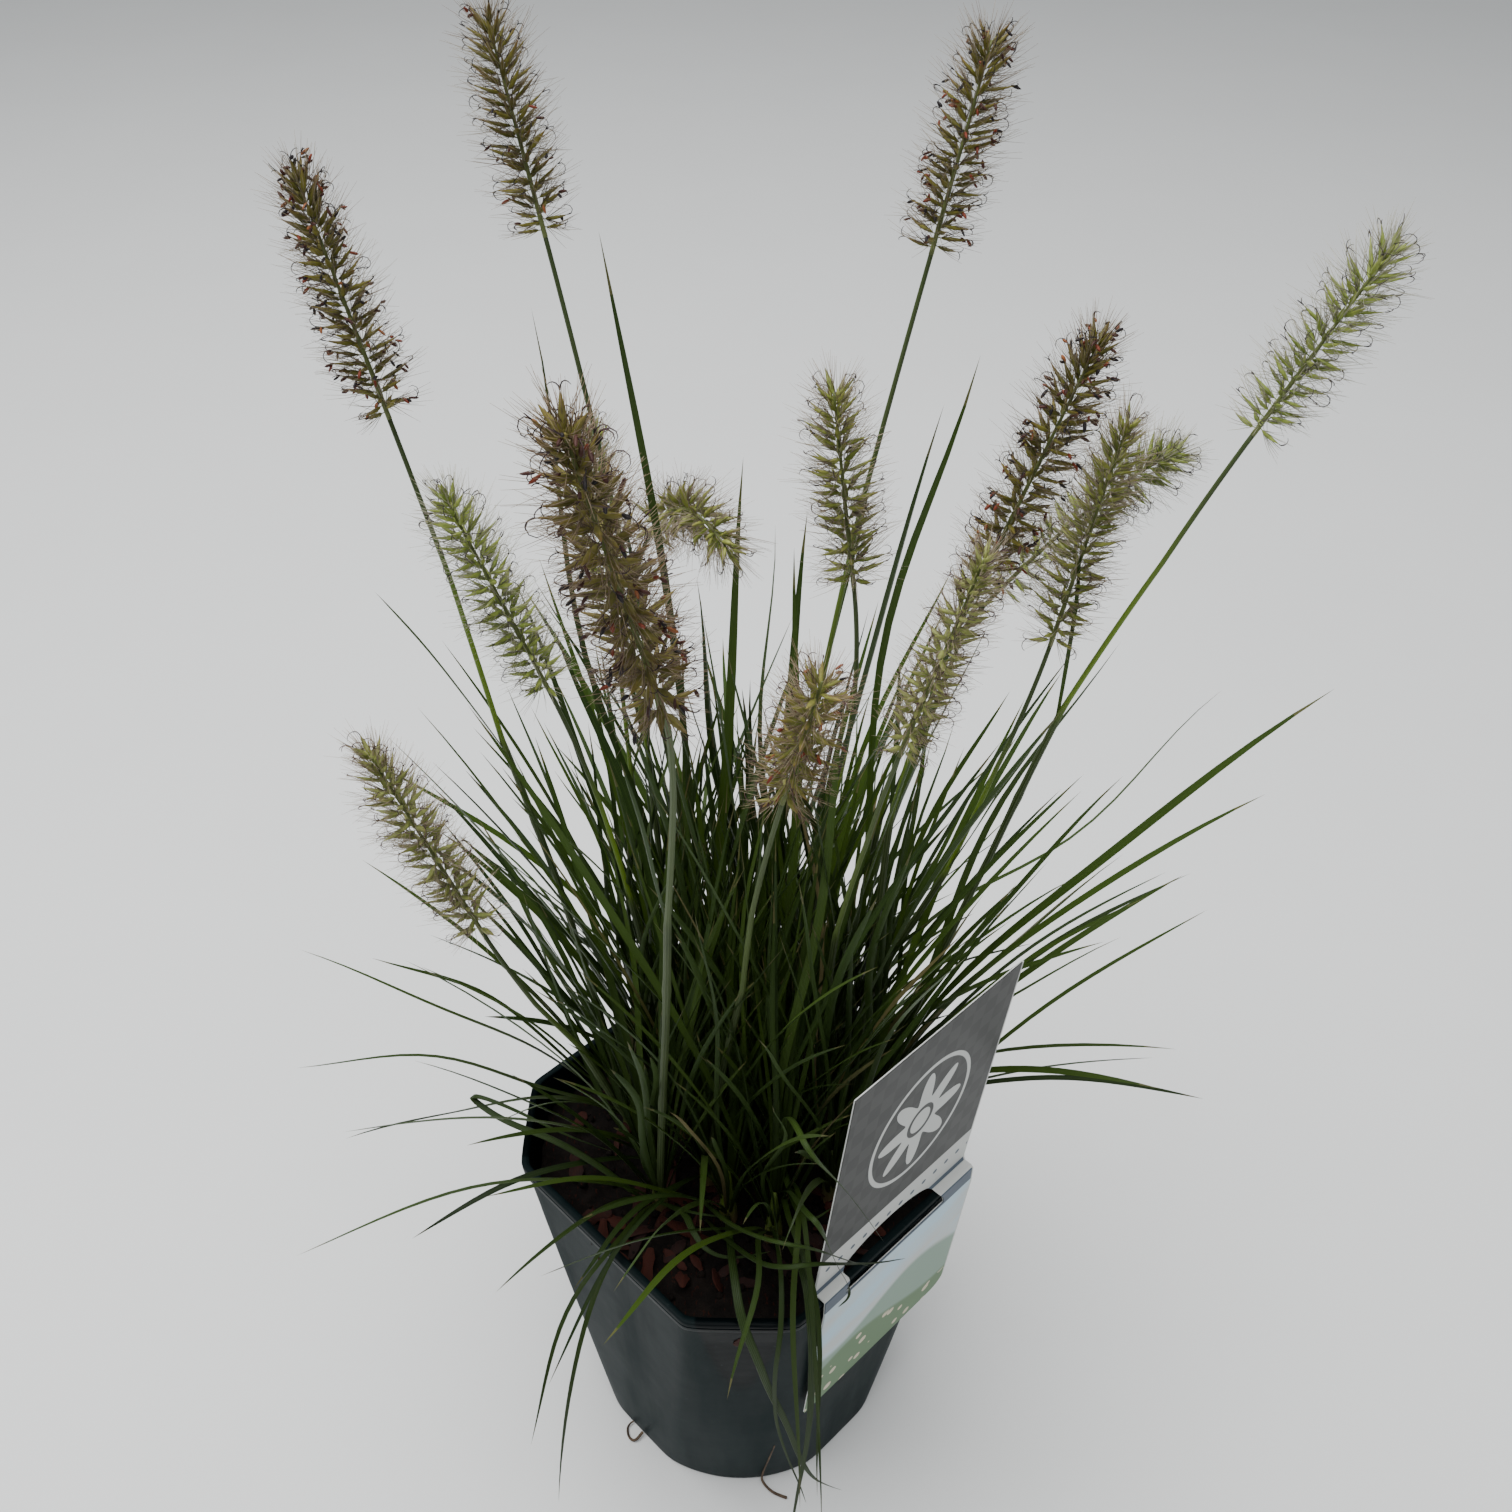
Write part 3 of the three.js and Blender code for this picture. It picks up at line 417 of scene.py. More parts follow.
def piece_gap(start, end, others, other_ends):
    """The least distance between straight pieces, for each of the first against each of the second."""
    ab, cd = (end - start)[:, None, :], (other_ends - others)[None, :, :]
    ca = start[:, None, :] - others[None, :, :]
    aa, cc = (ab * ab).sum(-1), (cd * cd).sum(-1)
    ac, f, e = (ab * cd).sum(-1), (cd * ca).sum(-1), (ab * ca).sum(-1)
    wide = aa * cc - ac * ac
    crossing = wide > 1e-9
    s = np.where(crossing, np.clip((ac * f - e * cc) / np.where(crossing, wide, 1), 0, 1), 0)
    t = np.clip((ac * s + f) / cc, 0, 1)
    s = np.clip((ac * t - e) / aa, 0, 1)
    return np.linalg.norm(ca + ab * s[..., None] - cd * t[..., None], axis=-1)


class Clearance:
    """What stands in the tuft so far: straight pieces, each with its thickness, owner and box."""

    def __init__(self):
        self.start = self.end = self.low = self.high = np.empty((0, 3))
        self.thick = self.owner = np.empty(0)

    def add(self, points, thick, owner):
        count = len(points) - 1
        self.start = np.vstack([self.start, points[:-1]])
        self.end = np.vstack([self.end, points[1:]])
        self.low = np.vstack([self.low, np.tile(points.min(0) - BOX_ROOM, (count, 1))])
        self.high = np.vstack([self.high, np.tile(points.max(0) + BOX_ROOM, (count, 1))])
        self.thick = np.append(self.thick, np.maximum(thick[:-1], thick[1:]))
        self.owner = np.append(self.owner, np.full(count, owner))

    def meets(self, points, thick, owner):
        low, high = points.min(0) - BOX_ROOM, points.max(0) + BOX_ROOM
        near = (self.owner != owner) & (low <= self.high).all(1) & (self.low <= high).all(1)
        if not near.any():
            return False
        gap = piece_gap(points[:-1], points[1:], self.start[near], self.end[near])
        room = np.maximum(thick[:-1], thick[1:])[:, None] + self.thick[near] + STRAND_GAP
        return bool((gap < room).any())


def label_out(height):
    """How far out the label's card lies at a height: along the wall, then at the rim, then leaning."""
    height = np.asarray(height, float)
    below = LABEL_OUTSIDE - LABEL_SPREAD * (LABEL_BEND - height)
    above = LABEL_INSIDE + LABEL_LEAN * (height - LABEL_STEP)
    return np.where(height < LABEL_BEND, below, np.where(height < LABEL_STEP, LABEL_OUTSIDE, above))


def meets_holder(points):
    """Whether points lie in the pot's wall, in the soil or near the label's card."""
    x, y, z = points[..., 0], points[..., 1], points[..., 2]
    flat = (abs(x) + abs(y)) / math.sqrt(2) / RIM_FLAT
    reach = np.maximum(flat, np.maximum(abs(x), abs(y)) / RIM_CORNER)
    wall = (reach > RIM_NEAR) & (reach < RIM_FAR) & (z < POT_HEIGHT + RIM_CLEAR)
    soil = (reach <= RIM_NEAR) & (z < SOIL_TOP + SOIL_CLEAR)
    out, along = (x - y) / math.sqrt(2), (x + y) / math.sqrt(2)
    beside = (along >= LABEL_FROM - LABEL_MARGIN) & (along <= LABEL_TO + LABEL_MARGIN)
    level = (z >= LABEL_LOW - LABEL_MARGIN) & (z <= LABEL_HIGH + LABEL_MARGIN)
    return wall | soil | (beside & level & (abs(out - label_out(z)) < LABEL_CLEAR))


def leaf_meets_holder(points):
    """Tests a leaf's points past its root, and the middles between them."""
    middles = (points[..., 1:-1, :] + points[..., 2:, :]) * 0.5
    return meets_holder(points[..., 2:, :]).any(-1) | meets_holder(middles).any(-1)


def leaf_root(place, angle):
    """Where a leaf starts: above the soil, at an angle round its tiller's middle."""
    x = place[0] + ROOT_RING * math.cos(angle)
    y = place[1] + ROOT_RING * math.sin(angle)
    return np.array([x, y, SOIL_TOP + ROOT_HEIGHT])


def leaf_way(angle, lean, long):
    """From root to tip: long times (sin lean cos angle, sin lean sin angle, cos lean)."""
    flat = long * math.sin(math.radians(lean))
    return np.array([flat * math.cos(angle), flat * math.sin(angle), long * math.cos(math.radians(lean))])


def culm_controls(place, head):
    """Four controls: up out of the soil, and into the head along the head's own direction."""
    foot = np.array([place[0], place[1], SOIL_TOP - 2])
    base = np.array(head["base"], float)
    reach = base - foot
    way = unit(np.array(head.get("over", head["tip"]), float) - base)
    end = base - way * HEAD_GAP
    third = end - way * (head.get("bend", CULM_BEND) * math.sqrt(reach @ reach))
    return np.array([foot, foot + reach * (CULM_LOW, CULM_LOW, CULM_RISE), third, end])


def head_controls(head):
    """The ends of a head's axis, with the middle of its arch between them if it nods."""
    stops = [head["base"], head["over"], head["tip"]] if "over" in head else [head["base"], head["tip"]]
    return np.array(stops, float)


@lru_cache(maxsize=1)
def grow_tuft():
    """Every tiller, culm and leaf. A leaf that would touch what stands on another tiller is drawn again."""
    places = tiller_places()
    draw = seeded_draw(SEED)
    standing = Clearance()
    culms, leaves = [], []
    base_thick = np.array([SHEATH_RADIUS, SHEATH_RADIUS, SHEATH_RADIUS * SHEATH_TAPER])
    for owner, (x, y) in enumerate(places):
        levels = (-1, SHEATH_SHOULDER, SHEATH_RISE)
        standing.add(np.array([[x, y, SOIL_TOP + rise] for rise in levels]), base_thick, owner)
    culm_free = np.ones(TILLERS)
    for number, head in enumerate(HEADS):
        owner = nearest_tiller(places, culm_free, head.get("foot", on_crown(head["base"], CULM_REACH)))
        points = bezier(culm_controls(places[owner], head), LINE_STEPS)
        standing.add(points, np.full(len(points), CULM_RADIUS), owner)
        axis = bezier(head_controls(head), 4)
        standing.add(axis, np.full(len(axis), HEAD_CLEAR), HEAD_OWNER + number)
        culms.append((owner, head))
    thick = np.maximum(BLADE_WIDTH / 2 * blade_share(np.arange(LINE_STEPS + 1) / LINE_STEPS), 0.5)

    def place_leaf(owner, root, tip, arch):
        controls = leaf_controls(root, tip, arch)
        points = bezier(controls, LINE_STEPS)
        if leaf_meets_holder(points) or standing.meets(points, thick, owner):
            return False
        standing.add(points, thick, owner)
        leaves.append((owner, controls))
        return True

    free = np.full(TILLERS, BLADES_PER_TILLER)
    for tip, arch in LONG_LEAVES:
        owner = nearest_tiller(places, free, on_crown(tip, LONG_LEAF_REACH))
        place = places[owner]
        root = leaf_root(place, math.atan2(tip[1] - place[1], tip[0] - place[0]))
        for turn in range(TRIES):
            shift = np.array([draw() - 0.5, draw() - 0.5, draw() - 0.5]) * (LOOSE_STEP * turn)
            if place_leaf(owner, root, np.array(tip) + shift, arch):
                break
    for ring in range(BLADES_PER_TILLER):
        for owner, place in enumerate(places):
            if free[owner] <= 0:
                continue
            free[owner] -= 1
            x, y = place - CROWN_PLACE
            outward = math.atan2(y, x)
            far = math.sqrt(math.hypot(x, y) / CROWN_RADIUS)
            for _ in range(TRIES):
                spin = draw() - 0.5
                angle = outward + (2 * math.pi * ring * 2) / BLADES_PER_TILLER + spin
                facing = 0.5 + 0.5 * math.cos(angle - outward)
                spread = (14 + 54 * draw()) * facing * far * (1 - 0.3 * max(0, -math.sin(angle)))
                lean = 5 + spread + 8 * draw()
                frontward = max(0, -math.sin(angle)) * math.sin(math.radians(lean))
                long = (285 - 1.5 * lean) * (0.6 + 0.4 * draw()) * (1 - 0.3 * frontward)
                arch = 3 + lean * (0.18 + 0.3 * draw())
                root = leaf_root(place, angle)
                if place_leaf(owner, root, root + leaf_way(angle, lean, long), arch):
                    break
    return places, culms, leaves


def check_tuft():
    """Stops the script if a tiller's leaves and culm don't fill the box of its solid."""
    places, culms, leaves = grow_tuft()
    for owner in range(TILLERS):
        lines = [bezier(controls, LINE_STEPS) for who, controls in leaves if who == owner]
        stems = [culm_controls(places[owner], head) for who, head in culms if who == owner]
        points = np.vstack(lines + [bezier(controls, LINE_STEPS) for controls in stems]) * MM
        low, high = (np.array(corner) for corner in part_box(f"leafy_stem_{owner + 1:02d}"))
        off = max(abs(points.max(0) - high).max(), abs((points.min(0) - low)[:2]).max())
        if off > TUFT_PLAY * MM:
            raise RuntimeError(f"the leaves of tiller {owner + 1} lie {off / MM:.1f} mm off their solid")


# Meshes. All sizes come in millimetres, and the mesh is made in metres.


class Surface:
    """Faces gathered for one piece: corners, quads, triangles, their places in the UV map, and values."""

    def __init__(self):
        self.corners, self.quads, self.triangles = [], [], []
        self.quad_uv, self.triangle_uv = [], []
        self.values = {}
        self.count = 0

    def add(self, corners, quads, triangles, quad_uv, triangle_uv, **values):
        """Adds a skin. values hold one number or colour for each corner."""
        self.corners.append(corners)
        self.quads.append(quads + self.count)
        self.triangles.append(triangles + self.count)
        self.quad_uv.append(quad_uv)
        self.triangle_uv.append(triangle_uv)
        for name, value in values.items():
            self.values.setdefault(name, []).append(value)
        self.count += len(corners)

    def piece(self, name, material, sharp_angle=None):
        """Puts the gathered faces into a new object at the origin."""
        corners = np.concatenate(self.corners) * MM
        quads = np.concatenate(self.quads)
        triangles = np.concatenate(self.triangles)
        loops = np.concatenate([quads.ravel(), triangles.ravel()])
        quad_starts = np.arange(len(quads)) * 4
        starts = np.concatenate([quad_starts, len(quads) * 4 + np.arange(len(triangles)) * 3])
        mesh = bpy.data.meshes.new(name)
        mesh.vertices.add(len(corners))
        mesh.vertices.foreach_set("co", corners.astype(np.float32).ravel())
        mesh.loops.add(len(loops))
        mesh.loops.foreach_set("vertex_index", loops.astype(np.int32))
        mesh.polygons.add(len(starts))
        mesh.polygons.foreach_set("loop_start", starts.astype(np.int32))
        mesh.polygons.foreach_set("use_smooth", np.full(len(starts), True))
        uv = np.concatenate([np.concatenate(self.quad_uv), np.concatenate(self.triangle_uv)])
        mesh.uv_layers.new(name="UVMap").uv.foreach_set("vector", uv.astype(np.float32).ravel())
        for label, values in self.values.items():
            value = np.concatenate(values).astype(np.float32)
            kind, field = ("FLOAT_COLOR", "color") if value.ndim == 2 else ("FLOAT", "value")
            mesh.attributes.new(label, kind, "POINT").data.foreach_set(field, value.ravel())
        mesh.update(calc_edges=True)
        mesh.validate()
        if sharp_angle is not None:
            mesh.set_sharp_from_angle(angle=sharp_angle)
        mesh.materials.append(material)
        made = bpy.data.objects.new(name, mesh)
        bpy.context.scene.collection.objects.link(made)
        return made


def skins(rings, starts, ends, shares):
    """Closes strands of rings. rings is strands x levels x sides x 3, turning left about the way up.

    Neighbouring corners of neighbouring rings make a quad, and each end ring closes on its end point.
    In the UV map, u runs round the ring and v is the level's share of the way up.
    """
    strands, levels, sides = rings.shape[:3]
    own = np.arange(strands * levels * sides).reshape(strands, levels, sides)
    turned = np.roll(own, -1, axis=2)
    quads = np.stack([own[:, :-1], turned[:, :-1], turned[:, 1:], own[:, 1:]], axis=-1).reshape(-1, 4)
    first = own.size + np.arange(strands)[:, None] + np.zeros(sides, int)
    last = first + strands
    low = np.stack([first, turned[:, 0], own[:, 0]], axis=-1)
    high = np.stack([own[:, -1], turned[:, -1], last], axis=-1)
    triangles = np.concatenate([low.reshape(-1, 3), high.reshape(-1, 3)])
    left, right = np.arange(sides) / sides, (np.arange(sides) + 1) / sides
    middle = (left + right) / 2
    bottom, top = np.asarray(shares)[:-1, None], np.asarray(shares)[1:, None]
    quad_uv = uv_rows(strands, left, bottom, right, bottom, right, top, left, top)
    low_uv = uv_rows(strands, middle, 0.0, right, 0.0, left, 0.0)
    high_uv = uv_rows(strands, left, 1.0, right, 1.0, middle, 1.0)
    corners = np.concatenate([rings.reshape(-1, 3), starts, ends])
    return corners, quads, triangles, quad_uv, np.concatenate([low_uv, high_uv])


def uv_rows(strands, *places):
    """Rows of u and v for the corners of one strand's faces, repeated for every strand."""
    return np.tile(np.stack(np.broadcast_arrays(*places), axis=-1).reshape(-1, 2), (strands, 1))


def carried(value, strands, levels, sides, channels=0):
    """Carries values to all corners and end points: one for each strand, or one for each of its levels.

    A colour has four channels, and a plain number none.
    """
    value = np.asarray(value, float)
    if value.ndim - bool(channels) < 2:
        value = value[:, None]
    value = np.broadcast_to(value, (strands, levels) + value.shape[2:])
    rings = np.repeat(value, sides, axis=1).reshape((-1,) + value.shape[2:])
    return np.concatenate([rings, value[:, 0], value[:, -1]])


def tubes(paths, radii, sides, guide, flatten):
    """Round or flattened skins along paths (strands x levels x 3), with a radius at each level.

    Each ring is the path's point plus radius times (cos, flatten times sin) in the two directions that
    are square to the path, the first of them square to the guide too.
    """
    along = unit(np.gradient(paths, axis=1))
    guide = np.broadcast_to(guide, paths.shape)
    first = unit(np.cross(along, guide))
    second = np.cross(along, first)
    angle = full_turn(sides)[:, None]
    out = first[:, :, None] * np.cos(angle) + second[:, :, None] * (flatten * np.sin(angle))
    return paths[:, :, None] + out * radii[:, :, None, None]


def add_tubes(surface, paths, radii, sides, guide, flatten=1.0, reach=0.0, **values):
    """Adds closed tubes. reach is how far the end points stand past the end rings, in millimetres."""
    rings = tubes(paths, radii, sides, guide, flatten)
    starts = paths[:, 0] - reach * unit(paths[:, 1] - paths[:, 0])
    ends = paths[:, -1] + reach * unit(paths[:, -1] - paths[:, -2])
    shares = np.linspace(0, 1, paths.shape[1])
    size = rings.shape[:3]
    values = {name: carried(value, *size, channels=4 * (name == "tint")) for name, value in values.items()}
    surface.add(*skins(rings, starts, ends, shares), **values)


def add_blades(surface, controls, width, tone, dry, twist, sway, steps):
    """Adds grass blades, each a shallow keel along a curve from root to tip.

    The curve is (1-t)^2 root + 2t(1-t) control + t^2 tip, pushed sideways by sway sin(pi t) sin(2 pi t).
    At each step the section is two edges, half the width away, over a keel that is KEEL of that deep,
    turned about the curve by the twist times (t - 0.2). The width rises from 0.7 at the root to 1 at
    WIDEST_AT and then falls as 1 - s^5, and the blade closes on the tip.
    """
    controls = np.asarray(controls, float)
    share = np.arange(steps) / steps
    t = share[None, :, None]
    root, middle, tip = (controls[:, i][:, None] for i in range(3))
    points = (1 - t) ** 2 * root + 2 * t * (1 - t) * middle + t * t * tip
    along = unit((1 - t) * (middle - root) + t * (tip - middle))
    level = unit(np.cross([0, 0, 1.0], controls[:, 2] - controls[:, 0]))[:, None]
    points = points + level * (sway[:, None] * np.sin(np.pi * share) * np.sin(2 * np.pi * share))[..., None]
    up = np.cross(along, np.broadcast_to(level, along.shape))
    turn = (twist[:, None] * (share - 0.2))[..., None]
    side = level * np.cos(turn) + up * np.sin(turn)
    top = np.cross(along, side)
    rest = np.clip((share - WIDEST_AT) / (1 - WIDEST_AT), 0, 1)
    full = np.where(share < WIDEST_AT, 0.7 + 0.3 * share / WIDEST_AT, 1 - rest**5)
    half = (width[:, None] / 2 * full)[..., None]
    deep, thin = KEEL * half, 0.12 + 0.1 * (1 - t)
    edges = points + side * half, points - side * half
    rings = np.stack([edges[0], points + top * (thin - deep), edges[1], points - top * (deep + thin)], axis=2)
    start = points[:, 0] - 0.5 * along[:, 0]
    count = len(controls)
    surface.add(
        *skins(rings, start, controls[:, 2], share),
        tone=carried(tone, count, steps, 4),
        dry=carried(dry, count, steps, 4),
    )


# Materials


class Finish:
    """A node material around one Principled shader, with short calls for the nodes that it uses."""

    def __init__(self, name, **sockets):
        self.material = bpy.data.materials.new(name)
        self.material.use_nodes = True
        self.tree = self.material.node_tree
        self.shader = self.tree.nodes["Principled BSDF"]
        for socket, value in sockets.items():
            self.shader.inputs[socket.replace("_", " ")].default_value = value

    def node(self, kind, inputs=(), **settings):
        made = self.tree.nodes.new(kind)
        for key, value in settings.items():
            setattr(made, key, value)
        for key, value in dict(inputs).items():
            self.put(made.inputs[key], value)
        return made

    def put(self, socket, value):
        if isinstance(value, bpy.types.NodeSocket):
            self.tree.links.new(value, socket)
        else:
            socket.default_value = value

    def link(self, name, value):
        self.tree.links.new(value, self.shader.inputs[name])

    def math(self, operation, first, second=0.0, third=0.0):
        inputs = {0: first, 1: second, 2: third}
        return self.node("ShaderNodeMath", inputs, operation=operation).outputs[0]

    def times(self, first, second, plus=None):
        """The product of two values, and a third added to it if there is one."""
        if plus is None:
            return self.math("MULTIPLY", first, second)
        return self.math("MULTIPLY_ADD", first, second, plus)

    def less(self, first, second):
        return self.math("SUBTRACT", first, second)

    def length(self, x, y):
        """The square root of x^2 + y^2."""
        return self.math("SQRT", self.times(x, x, self.times(y, y)))

    def wave(self, value, pitch, start=None):
        """The sine of a value times a pitch, from a start."""
        return self.math("SINE", self.times(value, pitch, start))

    def mix(self, share, first, second, blend="MIX"):
        """A colour between two, or their product when the blend is MULTIPLY and the share is 1."""
        made = self.node("ShaderNodeMix", data_type="RGBA", blend_type=blend)
        self.put(made.inputs["Factor"], share)
        for key, value in ((6, first), (7, second)):
            self.put(made.inputs[key], value if isinstance(value, bpy.types.NodeSocket) else (*value, 1.0))
        return made.outputs[2]

    def fade(self, value, low, high):
        """A smooth step from 0 at low to 1 at high."""
        inputs = {"Value": value, "From Min": low, "From Max": high}
        return self.node("ShaderNodeMapRange", inputs, interpolation_type="SMOOTHSTEP").outputs["Result"]

    def between(self, value, low, high, soft):
        """Near 1 between low and high, and 0 outside, with soft edges."""
        return self.less(self.edge(value, low, soft), self.edge(value, high, soft))

    def edge(self, value, level, soft):
        """0 below a level and 1 above it, with a soft edge."""
        return self.fade(value, level - soft, level + soft)

    def under(self, value, low, high):
        """1 below low, 0 above high, and a smooth step between."""
        return self.less(1.0, self.fade(value, low, high))

    def place(self):
        return self.node("ShaderNodeTexCoord").outputs["Object"]

    def noise(self, vector, scale, detail, roughness=0.55):
        inputs = {"Vector": vector, "Scale": scale, "Detail": detail, "Roughness": roughness}
        return self.node("ShaderNodeTexNoise", inputs).outputs["Fac"]

    def stretched(self, vector, scale):
        return self.node("ShaderNodeMapping", {"Vector": vector, "Scale": scale}).outputs["Vector"]

    def split(self, vector):
        return self.node("ShaderNodeSeparateXYZ", {"Vector": vector}).outputs

    def own_uv(self):
        return self.split(self.node("ShaderNodeUVMap", uv_map="UVMap").outputs["UV"])

    def value(self, name):
        return self.node("ShaderNodeAttribute", attribute_name=name).outputs["Fac"]

    def tint(self, name):
        return self.node("ShaderNodeAttribute", attribute_name=name).outputs["Color"]

    def bump(self, height, distance, strength):
        inputs = {"Height": height, "Distance": distance, "Strength": strength}
        self.link("Normal", self.node("ShaderNodeBump", inputs).outputs["Normal"])


def leaf_finish(settings):
    """Green blades: fine veins, a pale midrib and underside, straw tips, and painted shade that darkens them
    low down.
    """
    finish = Finish("leaf green", Roughness=0.42, Specular_IOR_Level=0.18)
    around, along = finish.own_uv()[0], finish.own_uv()[1]
    spot = finish.noise(finish.place(), 26.0, 3.0)
    shade = finish.times(spot, 0.5, finish.times(finish.value("tone"), 0.9))
    color = finish.mix(finish.fade(shade, 0.15, 1.15), settings.dark, settings.light)
    underside = finish.edge(around, 0.5, 0.01)
    color = finish.mix(finish.times(underside, 0.75), color, settings.underside)
    vein = finish.wave(around, 2 * math.pi * LEAF_VEINS)
    color = finish.mix(finish.fade(vein, -0.2, 1.4), color, settings.vein)
    rib = finish.between(around, 0.235, 0.265, 0.012)
    color = finish.mix(finish.times(rib, 0.55), color, settings.vein)
    foot = finish.under(along, 0.0, 0.16)
    color = finish.mix(finish.times(foot, 0.55), color, settings.foot)
    tip = finish.times(finish.fade(along, 0.94, 1.0), 0.3)
    color = finish.mix(tip, color, settings.straw)
    color = finish.mix(finish.value("dry"), color, settings.straw)
    # Painted shade: the blades get darker from the shade height down to the pot's rim.
    high = finish.fade(finish.split(finish.place())[2], POT_HEIGHT * MM, PAINTED_SHADE_TOP * MM)
    shadow = finish.mix(high, LOW_PAINTED_SHADE, (1.0, 1.0, 1.0))
    color = finish.mix(1.0, color, shadow, "MULTIPLY")
    finish.link("Base Color", color)
    finish.link("Roughness", finish.times(spot, 0.25, 0.3))
    finish.bump(vein, 0.00008, 0.6)
    return finish.material


def stem_finish(settings):
    """Culms and stem bases: olive to lime green with fine grooves, pale where misty, papery at the soil."""
    finish = Finish("stem green", Roughness=0.5, Specular_IOR_Level=0.2)
    around = finish.own_uv()[0]
    spot = finish.noise(finish.stretched(finish.place(), (60.0, 60.0, 12.0)), 1.0, 3.0)
    color = finish.mix(finish.fade(spot, 0.3, 0.75), settings.olive, settings.sage)
    color = finish.mix(finish.value("lime"), color, settings.lime)
    groove = finish.wave(around, 2 * math.pi * STEM_GROOVES)
    color = finish.mix(finish.fade(groove, 0.0, 1.6), color, settings.pale)
    color = finish.mix(finish.value("misty"), color, settings.misty)
    height = finish.split(finish.place())[2]
    foot = finish.under(height, SOIL_TOP * MM, (SOIL_TOP + 14) * MM)
    papery = finish.times(foot, finish.fade(spot, 0.25, 0.6))
    color = finish.mix(papery, color, settings.husk)
    finish.link("Base Color", color)
    finish.bump(groove, 0.00008, 0.5)
    return finish.material


def head_finish():
    """Spikelets, bristles and anthers: each part's own tint, mottled a little."""
    finish = Finish("flower head", Roughness=0.6, Specular_IOR_Level=0.35)
    spot = finish.noise(finish.place(), 420.0, 2.0)
    shade = finish.mix(finish.fade(spot, 0.25, 0.8), (0.72, 0.72, 0.72), (1.25, 1.25, 1.25))
    finish.link("Base Color", finish.mix(1.0, finish.tint("tint"), shade, "MULTIPLY"))
    finish.link("Roughness", finish.times(spot, 0.3, 0.45))
    return finish.material


def pot_finish(settings):
    """Moulded dark plastic: a soft gloss, faint flow lines, specks, dust, more of it at the foot, darker
    corner panels and rim band, and painted shade inside the pot.
    """
    finish = Finish("pot plastic", Specular_IOR_Level=0.03)
    place = finish.place()
    cloud = finish.noise(place, 22.0, 4.0, 0.6)
    drawn = finish.noise(finish.stretched(place, (55.0, 55.0, 5.0)), 1.0, 4.0)
    specks = finish.fade(finish.noise(place, 300.0, 2.0, 0.7), 0.69, 0.76)
    color = finish.mix(finish.fade(cloud, 0.3, 0.75), settings.color, settings.worn)
    # panel is 1 on the corner panels, less on the rim band, and painted shade inside the pot
    panel = panels_band_and_inside_shade(finish, place)
    color = finish.mix(panel, color, settings.panel)
    clean = finish.times(panel, -PANEL_CLEAN * settings.dust, settings.dust)
    dust = finish.times(finish.fade(drawn, 0.42, 0.8), clean)
    color = finish.mix(dust, color, settings.dust_color)
    color = finish.mix(finish.times(specks, 0.5), color, settings.dust_color)
    low = finish.under(finish.split(place)[2], 0.0, PANEL_FADE * MM)
    color = finish.mix(finish.times(low, FOOT_DUST), color, settings.dust_color)
    finish.link("Base Color", color)
    rough = finish.times(cloud, 0.22, settings.roughness - 0.1)
    rough = finish.times(panel, -0.12, rough)
    finish.link("Roughness", finish.times(dust, 0.5, rough))
    lines = finish.wave(finish.split(place)[2], 2 * math.pi / (FLOW_LINES * MM))
    relief = finish.times(lines, 0.12, finish.noise(place, 90.0, 3.0))
    finish.bump(relief, 0.00012, 0.6)
    return finish.material


def panels_band_and_inside_shade(finish, place):
    """1 on the four corner panels, less on the rim band, less inside the pot where it stands for painted
    shade, and 0 on the rest.
    """
    x, y, height = (finish.times(value, 1 / MM) for value in finish.split(place))
    x, y = finish.math("ABSOLUTE", x), finish.math("ABSOLUTE", y)
    side = finish.math("MINIMUM", x, y)
    cone = finish.times(height, ROUND_GROWTH, BASE_ROUND)
    panel = finish.times(height, PANEL_GROWTH, PANEL_START - PANEL_GROWTH * PANEL_FADE)
    wide = finish.less(finish.times(cone, cone), finish.times(panel, panel))
    wide = finish.less(wide, finish.times(side, side))
    on_panel = finish.fade(height, PANEL_FADE - 1, PANEL_FADE + 3)
    on_panel = finish.times(finish.fade(wide, *PANEL_SOFT), on_panel)
    band_low = POT_HEIGHT - BAND_HEIGHT
    band = finish.times(finish.fade(height, band_low - 0.6, band_low + 0.2), BAND_SHADE)
    flat = finish.times(finish.math("ADD", x, y), math.sqrt(0.5))
    wall_flat = finish.times(height, FLAT_GROWTH, BASE_FLAT)
    # Painted shade: the inside of the pot takes part of the panels' dark colour.
    in_round = finish.math("LESS_THAN", finish.less(finish.length(x, y), cone), -WALL / 2)
    in_flat = finish.math("LESS_THAN", finish.less(flat, wall_flat), -WALL / 2)
    inside = finish.times(finish.times(in_round, in_flat), finish.math("GREATER_THAN", height, FLOOR - 0.6))
    inside = finish.times(inside, INSIDE_PAINTED_SHADE)
    return finish.math("MAXIMUM", finish.math("MAXIMUM", on_panel, band), inside)


def soil_finish(settings):
    """Peat: near black crumbs with brown fibres."""
    finish = Finish("potting soil", Roughness=0.95, Specular_IOR_Level=0.15)
    place = finish.place()
    coarse = finish.noise(place, 160.0, 5.0, 0.7)
    fine = finish.noise(place, 900.0, 3.0, 0.7)
    fibre = finish.fade(finish.noise(finish.stretched(place, (900.0, 160.0, 900.0)), 1.0, 2.0), 0.62, 0.7)
    color = finish.mix(finish.fade(coarse, 0.35, 0.7), settings.soil, settings.soil_light)
    color = finish.mix(finish.times(fibre, 0.5), color, settings.bark)
    finish.link("Base Color", color)
    finish.bump(finish.times(fine, 0.4, coarse), 0.0009, 0.8)
    return finish.material


